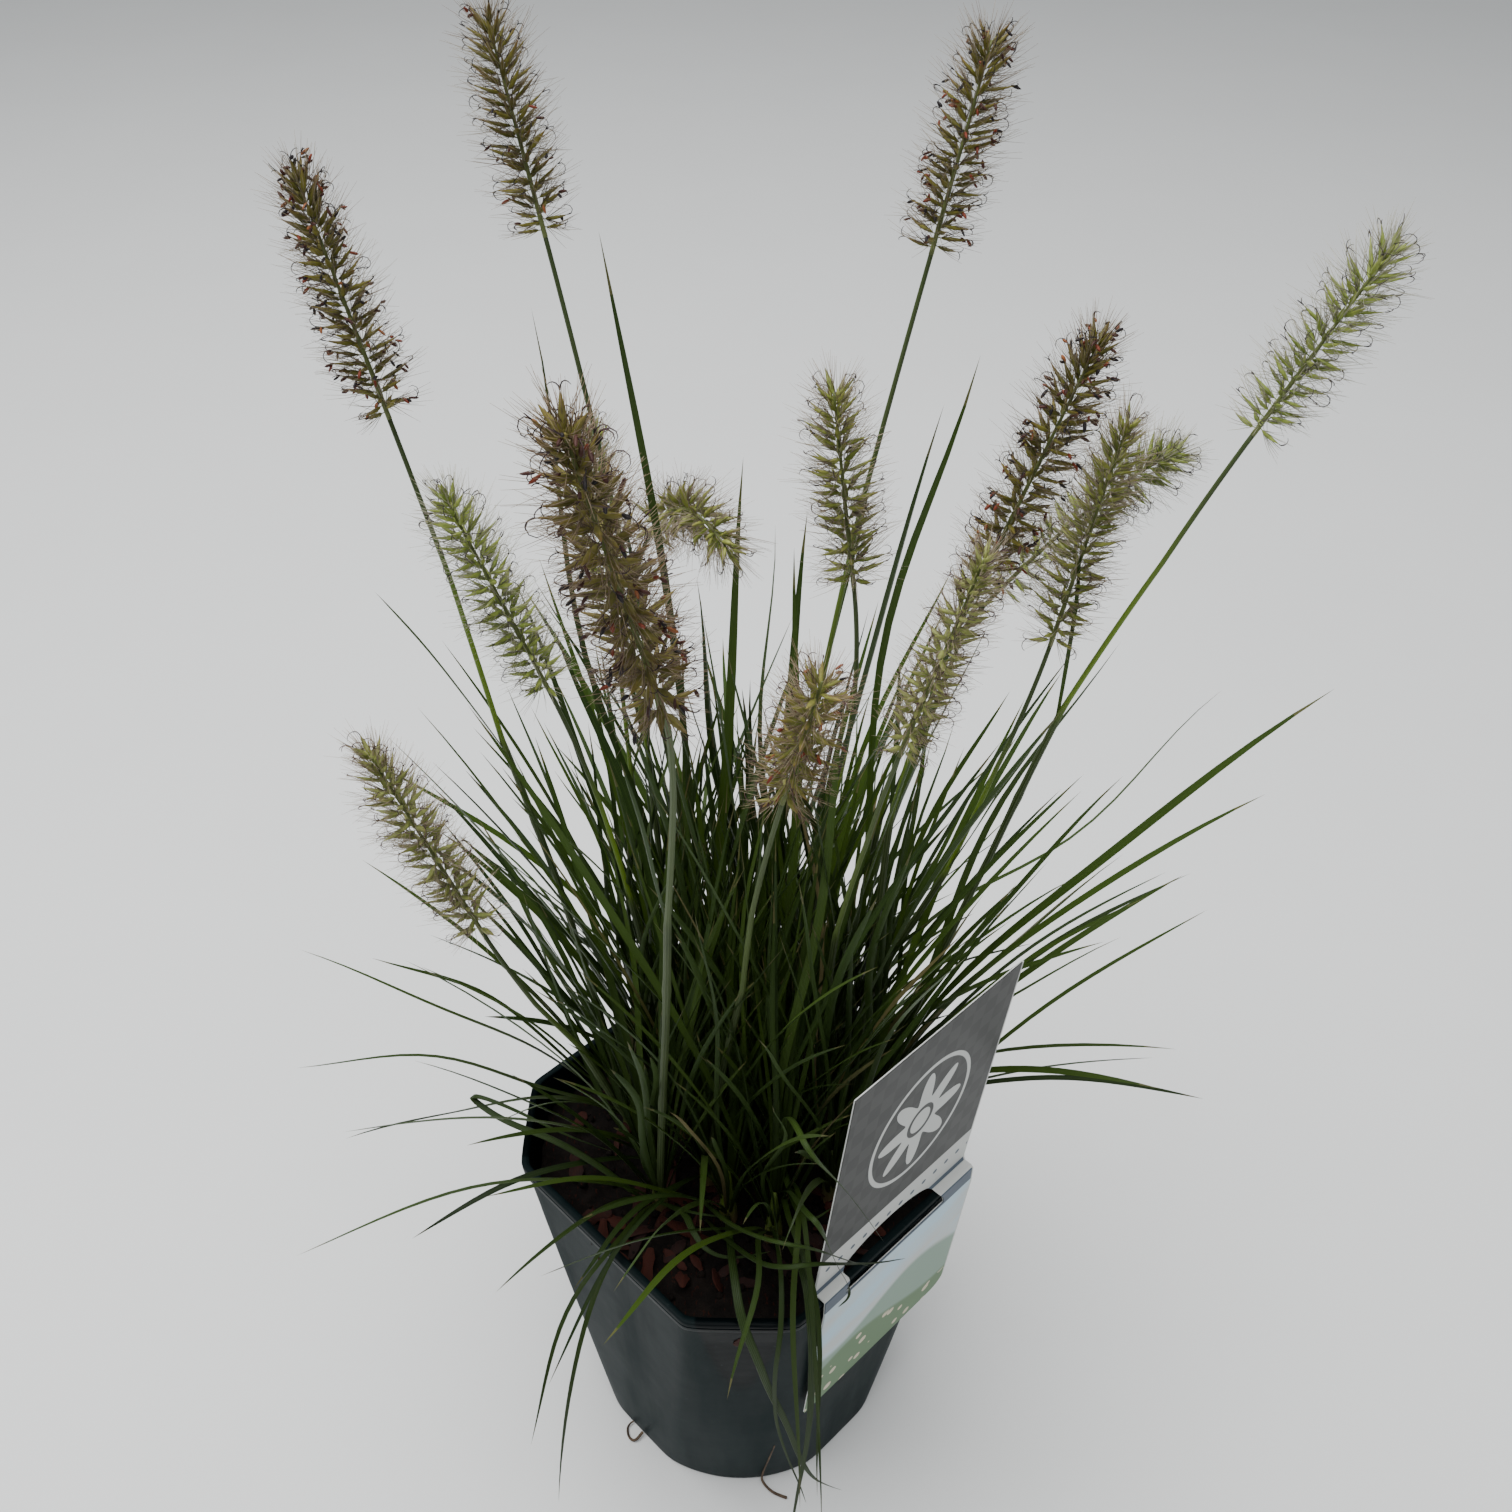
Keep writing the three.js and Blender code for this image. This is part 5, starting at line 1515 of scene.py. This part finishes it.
# Culms


def stem_bases(random, places, material):
    """Stem bases: a tube up each tiller, swollen at the soil and 0.85 times as deep as it is wide."""
    rise = np.array([-SHEATH_DEPTH, -2.0, 2.0, 8.0, 14.0, 21.0, 29.0])
    radii = np.tile([3.2, 3.6, 3.7, 3.4, 2.7, 1.8, 0.9], (TILLERS, 1))
    feet = np.column_stack([places, np.zeros(TILLERS)])[:, None]
    paths = feet + np.stack([0 * rise, 0 * rise, SOIL_TOP + rise], axis=1)
    lime = random.uniform(0, 0.5, TILLERS)
    surface = Surface()
    add_tubes(surface, paths, radii, 10, feet, flatten=0.85, reach=1.0, lime=lime, misty=0 * lime)
    return surface.piece("stem_bases", material)


def culm_piece(settings, random, material, place, head, number):
    """One culm: a tube along its curve that tapers, with a sheath to a collar and two nodes."""
    points = culm_line(place, head, number, CULM_STEPS)
    share = np.arange(CULM_STEPS + 1) / CULM_STEPS
    foot, neck = settings.foot_radius / MM, settings.neck_radius / MM
    radius = foot + (neck - foot) * share
    collar = culm_collar(number)
    radius = radius + COLLAR_STEP * (1 - smooth_step(collar - 0.01, collar + 0.01, share))
    for joint in (random.uniform(0.2, 0.3), collar - 0.12):
        radius = radius + NODE_SWELL * np.exp(-(((share - joint) / NODE_LENGTH) ** 2))
    young = random.uniform(0.3, 1) if head["look"] != "brown" else 0.1
    lime = young * smooth_step(collar - 0.02, collar + 0.02, share)
    lime = lime * (1 - smooth_step(collar + 0.1, collar + 0.3, share))
    misty = np.where(share > collar, MISTY_ABOVE, MISTY_BELOW) * (head.get("stem") == "misty")
    surface = Surface()
    guide = np.array([0.31, 0.95, 0.02])
    add_tubes(surface, points[None], radius[None], 9, guide, lime=lime[None], misty=misty[None])
    return surface.piece(f"culm_{number + 1:02d}", material)


class GRASS_OT_culms(bpy.types.Operator):
    """Add the stem bases and the flowering culms"""

    bl_idname = "grass.add_culms"
    bl_label = "Stem bases and culms"

    def execute(self, context):
        settings = context.scene.grass_stem
        places, culms, _ = grow_tuft()
        material = stem_finish(settings)
        random = np.random.default_rng(CULM_SEED)
        finished(stem_bases(random, places, material), "leaf")
        for number, (owner, head) in enumerate(culms):
            finished(culm_piece(settings, random, material, places[owner], head, number), "leaf")
        return {"FINISHED"}


# Flower heads

LOOKS = {
    "ripe": {
        "spikelet": ((0.09, 0.088, 0.012), (0.21, 0.195, 0.03)),
        "point": (0.12, 0.038, 0.02),
        "bristle": ((0.26, 0.22, 0.145), (0.12, 0.065, 0.035)),
        "anther_shares": (0.2, 0.1, 0.38, 0.32),
        "style": (0.015, 0.01, 0.01),
    },
    "brown": {
        "spikelet": ((0.11, 0.105, 0.02), (0.24, 0.21, 0.05)),
        "point": (0.12, 0.045, 0.02),
        "bristle": ((0.3, 0.235, 0.15), (0.14, 0.08, 0.05)),
        "anther_shares": (0.1, 0.06, 0.34, 0.5),
        "style": (0.03, 0.015, 0.015),
    },
    "amber": {
        "spikelet": ((0.14, 0.155, 0.03), (0.28, 0.28, 0.065)),
        "point": (0.2, 0.085, 0.03),
        "bristle": ((0.34, 0.28, 0.18), (0.19, 0.11, 0.065)),
        "anther_shares": (0.35, 0.4, 0.05, 0.2),
        "style": (0.06, 0.03, 0.025),
    },
    "rosy": {
        "spikelet": ((0.2, 0.235, 0.055), (0.41, 0.45, 0.14)),
        "point": (0.14, 0.08, 0.045),
        "bristle": ((0.4, 0.34, 0.24), (0.2, 0.135, 0.085)),
        "style": (0.055, 0.03, 0.028),
    },
    "olive": {
        "spikelet": ((0.14, 0.18, 0.027), (0.31, 0.34, 0.075)),
        "point": (0.13, 0.07, 0.03),
        "bristle": ((0.37, 0.32, 0.235), (0.19, 0.125, 0.08)),
        "style": (0.045, 0.03, 0.025),
    },
    "green": {
        "spikelet": ((0.165, 0.225, 0.036), (0.39, 0.47, 0.105)),
        "point": (0.15, 0.12, 0.04),
        "bristle": ((0.43, 0.42, 0.31), (0.22, 0.19, 0.12)),
        "style": (0.03, 0.022, 0.02),
    },
}
# Rust, orange, nearly black and dark brown, in the order of a look's anther_shares.
ANTHER_COLORS = np.array(
    [(0.17, 0.03, 0.012), (0.2, 0.065, 0.018), (0.01, 0.006, 0.007), (0.05, 0.015, 0.01)],
)
STYLE_SHARE = 0.82  # of the spikelets carry styles
MOST_ANTHERS = 3
RACHIS_COLORS = ((0.1, 0.13, 0.035), (0.16, 0.17, 0.06))


def mixed(share, first, second):
    """Colours between two, one for each share."""
    share = np.asarray(share)[..., None]
    return np.array(first) * (1 - share) + np.array(second) * share


def opaque(color):
    """Colours with a fourth channel at 1."""
    return np.concatenate([color, np.ones(color.shape[:-1] + (1,))], axis=-1)


def frame_on(axis_points, share):
    """Points at shares of a line, its direction there, and two directions square to it."""
    steps = len(axis_points) - 1
    grid = np.arange(steps + 1) / steps

    def at_shares(rows):
        return np.stack([np.interp(share, grid, column) for column in rows.T], axis=-1)

    way = unit(at_shares(np.gradient(axis_points, axis=0)))
    first = unit(np.cross(way, [0.0, 1.0, 0.0]))
    return at_shares(axis_points), way, first, np.cross(way, first)


# Spikelets: shares up the head, roots on the rachis, the rachis' direction there, directions out from it,
# the spikelets' own directions and their lengths.
Layout = namedtuple("Layout", "share point way out aim length")


def spikelet_layout(settings, axis_points, slim, random):
    """Spikelets in a golden angle spiral: shares up the head, their roots, directions and lengths.

    The angle to the rachis is 77 degrees, more in the lowest tenth, where the oldest bend back, and
    less towards the tip, where they close up. They are shortest at both ends.
    """
    long = np.linalg.norm(np.diff(axis_points, axis=0), axis=1).sum()
    count = int((long - HEAD_TUFT) / (settings.pitch / MM))
    number = np.arange(count)
    share = 0.005 + (1 - HEAD_TUFT / long) * ((number + 0.5) / count) ** 0.96
    point, way, first, second = frame_on(axis_points, share)
    angle = np.radians(number * GOLDEN_ANGLE) + random.normal(0, 0.16, count)
    out = first * np.cos(angle)[:, None] + second * np.sin(angle)[:, None]
    opened = 77 + 20 * (1 - smooth_step(0.0, 0.1, share)) - 56 * share**4 + random.normal(0, 7, count)
    opened = np.radians(opened)[:, None]
    aim = out * np.sin(opened) + way * np.cos(opened)
    ends = np.minimum(1, np.minimum(0.78 + 2.2 * share, 0.58 + 1.7 * (1 - share)))
    length = settings.spikelet_length / MM * slim * ends * random.uniform(0.84, 1.1, count)
    return Layout(share, point, way, out, aim, length)


def add_spikelets(surface, settings, look, layout, random):
    """Spikelets: narrow pointed husks on threads, widest a third of the way, bent a little up the rachis."""
    point, way, aim, length = layout.point, layout.way, layout.aim, layout.length
    count = len(length)
    s = np.array([0.0, 0.12, 0.34, 0.58, 0.8, 0.97])
    bend = 0.13 * length[:, None, None] * (s**2)[None, :, None]
    stalk = settings.pedicel / MM * (0.35 + 0.65 * np.minimum(1, 3 * (1 - layout.share)))[:, None]
    root = point + aim * stalk
    paths = root[:, None] + aim[:, None] * (length[:, None] * s)[..., None] + way[:, None] * bend
    width = settings.spikelet_width / MM * random.uniform(0.8, 1.15, count)
    radii = (width[:, None] / 2) * np.array([0.22, 0.7, 1.0, 0.8, 0.42, 0.1])[None]
    tone = random.uniform(0, 1, count)
    body = mixed(tone, *look["spikelet"])[:, None]
    tipped = 0.2 + 0.6 * random.uniform(0, 1, count)
    tip = np.clip((s - 0.45) / 0.5, 0, 1)[None, :, None] * tipped[:, None, None]
    tint = body * (1 - tip) + np.array(look["point"]) * tip
    add_tubes(surface, paths, radii, 6, way[:, None], flatten=0.72, reach=0.25, tint=opaque(tint))
    line = np.stack([point, (point + root) / 2, root + aim * 0.3], axis=1)
    add_tubes(surface, line, np.full(line.shape[:2], 0.14), 4, way[:, None], tint=opaque(body[:, 0] * 0.8))
    return paths[:, -1]


def add_bristles(surface, settings, look, layout, random):
    """Bristles: fine hairs from each spikelet's root, spread round its direction and bent up a little."""
    many = np.repeat(np.arange(len(layout.share)), settings.bristles)
    count = len(many)
    way, aim = layout.way[many], layout.aim
    loose = unit(aim[many] + random.normal(0, 0.33, (count, 3)))
    ratio = settings.bristle_length / settings.spikelet_length
    long = ratio * layout.length[many] * random.uniform(0.5, 1.0, count)
    s = np.array([0.0, 0.55, 1.0])
    lift = way[:, None] * (0.12 * long[:, None] * s**2)[..., None]
    root = (layout.point + aim * settings.pedicel / MM)[many][:, None]
    paths = root + loose[:, None] * (long[:, None] * s)[..., None] + lift
    radii = np.full(count, settings.bristle_radius / MM)[:, None] * np.array([1.0, 0.75, 0.3])[None]
    tint = mixed(random.uniform(0, 1, count) ** 1.5, *look["bristle"])
    guide = layout.out[many][:, None] * 0.3 + way[:, None]
    add_tubes(surface, paths, radii, 3, guide, tint=opaque(tint))


def add_styles(surface, look, tips, layout, random):
    """Styles: two short dark threads at a spikelet's tip, each a small curl in a drawn plane."""
    picked = np.repeat(np.nonzero(random.uniform(0, 1, len(tips)) < STYLE_SHARE)[0], 2)
    count = len(picked)
    aim = layout.aim[picked]
    turn = np.linspace(0, 1, 6)[None, :] * random.uniform(1.2, 3.9, count)[:, None]
    curl = random.uniform(0.9, 2.0, count)[:, None]
    aside = unit(np.cross(aim, random.normal(0, 1, (count, 3))))
    forward = aim[:, None] * (curl * np.sin(turn))[..., None]
    paths = tips[picked][:, None] + forward + aside[:, None] * (curl * (1 - np.cos(turn)))[..., None]
    plane = np.cross(aim, aside)[:, None]
    radii = np.tile([0.16, 0.15, 0.14, 0.13, 0.11, 0.07], (count, 1))
    tint = np.array(look["style"]) * random.uniform(0.6, 1.8, (count, 1))
    add_tubes(surface, paths, radii, 3, plane, tint=opaque(tint))


def add_anthers(surface, look, amount, tips, layout, random):
    """Anthers: small husks that hang from the tips of ripe spikelets, rust, orange or nearly black."""
    wanted = random.poisson(amount, len(tips)) * (layout.share > 0.03)
    picked = np.repeat(np.arange(len(tips)), np.minimum(wanted, MOST_ANTHERS))
    count = len(picked)
    aim = layout.aim[picked]
    hang = unit(aim + random.normal(0, 0.5, (count, 3)) + [0, 0, -0.8])
    back = aim * random.uniform(0.2, 3.2, count)[:, None]
    start = tips[picked] - back + random.normal(0, 0.3, (count, 3))
    long = random.uniform(1.8, 3.0, count)
    s = np.array([0.0, 0.2, 0.5, 0.8, 1.0])
    paths = start[:, None] + hang[:, None] * (long[:, None] * s)[..., None]
    radii = np.array([0.12, 0.38, 0.46, 0.38, 0.12]) * random.uniform(0.8, 1.2, (count, 1))
    tint = ANTHER_COLORS[random.choice(len(ANTHER_COLORS), count, p=look["anther_shares"])]
    guide = unit(np.cross(hang, [0.2, 0.4, 0.9]))[:, None]
    add_tubes(surface, paths, radii, 5, guide, reach=0.1, tint=opaque(tint))


def head_piece(settings, head, number, material):
    """One bottlebrush head: rachis, spikelets, bristles, styles and anthers."""
    random = np.random.default_rng(SEED + 31 * number)
    look = LOOKS[head["look"]]
    axis_points = bezier(head_controls(head), 24)
    surface = Surface()
    inside = axis_points[0] - 1.5 * unit(axis_points[1] - axis_points[0])
    line = np.vstack([inside, axis_points[:-2]])
    radii = np.linspace(0.8, 0.35, len(line))
    tint = opaque(np.tile(mixed(0.4, *RACHIS_COLORS), (1, len(line), 1)))
    add_tubes(surface, line[None], radii[None], 7, np.array([0.1, 1.0, 0.05]), reach=0.3, tint=tint)
    layout = spikelet_layout(settings, axis_points, head.get("slim", 1.0), random)
    tips = add_spikelets(surface, settings, look, layout, random)
    add_bristles(surface, settings, look, layout, random)
    add_styles(surface, look, tips, layout, random)
    if "anthers" in head:
        add_anthers(surface, look, head["anthers"], tips, layout, random)
    return surface.piece(f"bottlebrush_{number + 1:02d}", material)


class GRASS_OT_heads(bpy.types.Operator):
    """Add the bottlebrush flower heads"""

    bl_idname = "grass.add_heads"
    bl_label = "Flower heads"

    def execute(self, context):
        material = head_finish()
        for number, head in enumerate(HEADS):
            piece = head_piece(context.scene.grass_head, head, number, material)
            finished(piece, "flower", f"flower_head_{number + 1:02d}")
        return {"FINISHED"}


# Label and roots


class GRASS_OT_label(bpy.types.Operator):
    """Print the plant label"""

    bl_idname = "grass.add_label"
    bl_label = "Plant label"

    def execute(self, context):
        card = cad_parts["label"]
        card.data.materials.clear()
        card.data.materials.append(label_finish(context.scene.grass_label))
        return {"FINISHED"}


ROOT_DARK = (0.035, 0.02, 0.012)
ROOT_PALE = (0.13, 0.085, 0.05)

# Roots that have come out at the pot's foot: points along each, in millimetres.
ROOTS = [
    ((-46, -37, 2), (-49.5, -39, 1.4), (-50, -42, 1), (-48.5, -45.5, 1), (-46, -46.5, 1.2), (-43, -43, 2.4)),
    (
        (14.2, -66.2, 38), (12, -64.2, 22), (9.6, -62.4, 6), (9.2, -63.4, 1.4), (13.5, -68, 0.9),
        (20, -70.5, 1.2),
    ),
    ((-58, 20, 3), (-64, 24, 1.2), (-70, 22, 1), (-76, 26, 1.2)),
]


class GRASS_OT_roots(bpy.types.Operator):
    """Add the thin dry roots at the pot's foot"""

    bl_idname = "grass.add_roots"
    bl_label = "Roots"

    def execute(self, context):
        surface = Surface()
        for stops in ROOTS:
            path = rounded(stops)
            radii = np.linspace(0.3, 0.7, len(path))
            add_tubes(surface, path[None], radii[None], 7, np.array([0.02, 0.03, 1.0]), reach=0.3)
        finished(surface.piece("dry_roots", root_finish()), "potting_soil")
        return {"FINISHED"}


# Stage

CAMERA_PLACE = (0.00086, -0.3715, 0.6545)
CAMERA_PITCH = 39.2
CAMERA_YAW = 0.29
CAMERA_ROLL = 0.83
SENSOR = 36.0
FLOOR_REACH = 8.0
FLOOR_CLOUD = 0.95  # the darkest the floor gets, as a share of its colour
SKY_COLOR = (0.93, 0.97, 1.0, 1.0)
LAMP_ABOVE = (-0.35, 0.0, 2.2)
LAMP_IN_FRONT = (0.7, -1.5, 1.2)
LAMP_AIM = (0.0, 0.0, 0.2)


def camera_matrix():
    """The camera looks along (sin yaw cos pitch, cos yaw cos pitch, -sin pitch), then rolls."""
    pitch, yaw, roll = (math.radians(value) for value in (CAMERA_PITCH, CAMERA_YAW, CAMERA_ROLL))
    ahead = Vector((math.sin(yaw) * math.cos(pitch), math.cos(yaw) * math.cos(pitch), -math.sin(pitch)))
    right = Vector((math.cos(yaw), -math.sin(yaw), 0))
    above = right.cross(ahead)
    rolled = math.cos(roll) * right + math.sin(roll) * above
    upward = math.cos(roll) * above - math.sin(roll) * right
    matrix = Matrix((rolled, upward, -ahead)).transposed().to_4x4()
    matrix.translation = Vector(CAMERA_PLACE)
    return matrix


def floor_mesh():
    """A level square sheet that reaches far past the picture."""
    corners = [(x * FLOOR_REACH, y * FLOOR_REACH, 0) for x, y in ((-1, -1), (1, -1), (1, 1), (-1, 1))]
    mesh = bpy.data.meshes.new("pale_floor")
    mesh.from_pydata(corners, [], [(0, 1, 2, 3)])
    return mesh


def add_lamp(name, place, size, power):
    """A round lamp that shines at the plant."""
    lamp = bpy.data.lights.new(name, "AREA")
    lamp.shape = "DISK"
    lamp.size = size
    lamp.energy = power
    made = bpy.data.objects.new(name, lamp)
    bpy.context.scene.collection.objects.link(made)
    made.location = place
    made.rotation_euler = (Vector(LAMP_AIM) - Vector(place)).to_track_quat("-Z", "Y").to_euler()


class GRASS_OT_stage(bpy.types.Operator):
    """Add the pale floor, the soft lights and the camera"""

    bl_idname = "grass.add_stage"
    bl_label = "Stage"

    def execute(self, context):
        settings = context.scene.grass_stage
        floor = bpy.data.objects.new("pale_floor", floor_mesh())
        context.scene.collection.objects.link(floor)
        finish = Finish("pale floor", Roughness=0.85)
        cloud = finish.noise(finish.place(), 6.0, 4.0)
        darker = [FLOOR_CLOUD * channel for channel in settings.floor]
        finish.link("Base Color", finish.mix(cloud, darker, settings.floor))
        floor.data.materials.append(finish.material)
        world = bpy.data.worlds.new("soft light")
        world.use_nodes = True
        shade = world.node_tree.nodes["Background"]
        shade.inputs["Color"].default_value = SKY_COLOR
        shade.inputs["Strength"].default_value = settings.sky
        context.scene.world = world
        add_lamp("lamp above", LAMP_ABOVE, 2.4, settings.key)
        add_lamp("lamp in front", LAMP_IN_FRONT, 1.2, settings.fill)
        camera = bpy.data.cameras.new("camera")
        camera.sensor_width = SENSOR
        camera.lens = settings.lens
        camera.clip_start = 0.01
        made = bpy.data.objects.new("camera", camera)
        context.scene.collection.objects.link(made)
        made.matrix_world = camera_matrix()
        context.scene.camera = made
        return {"FINISHED"}


OPERATORS = [
    GRASS_OT_pot,
    GRASS_OT_soil,
    GRASS_OT_label,
    GRASS_OT_leaves,
    GRASS_OT_culms,
    GRASS_OT_heads,
    GRASS_OT_roots,
    GRASS_OT_stage,
]


class GRASS_PT_panel(bpy.types.Panel):
    """Lists the pieces of the potted grass and their settings"""

    bl_idname = "GRASS_PT_panel"
    bl_label = "Potted fountain grass"
    bl_space_type = "VIEW_3D"
    bl_region_type = "UI"
    bl_category = "Fountain grass"

    def draw(self, context):
        for operator in OPERATORS:
            self.layout.operator(operator.bl_idname)
        for name, group in SETTINGS.items():
            box = self.layout.box()
            for setting in group.__annotations__:
                box.prop(getattr(context.scene, name), setting)


def register():
    for group in SETTINGS.values():
        bpy.utils.register_class(group)
    for operator in OPERATORS:
        bpy.utils.register_class(operator)
    bpy.utils.register_class(GRASS_PT_panel)
    for name, group in SETTINGS.items():
        setattr(bpy.types.Scene, name, bpy.props.PointerProperty(type=group))


def unregister():
    for name in SETTINGS:
        delattr(bpy.types.Scene, name)
    bpy.utils.unregister_class(GRASS_PT_panel)
    for operator in reversed(OPERATORS):
        bpy.utils.unregister_class(operator)
    for group in SETTINGS.values():
        bpy.utils.unregister_class(group)


def main():
    register()
    bpy.ops.grass.add_pot()
    bpy.ops.grass.add_soil()
    bpy.ops.grass.add_label()
    bpy.ops.grass.add_leaves()
    bpy.ops.grass.add_culms()
    bpy.ops.grass.add_heads()
    bpy.ops.grass.add_roots()
    bpy.ops.grass.add_stage()


if __name__ == "__main__":
    main()
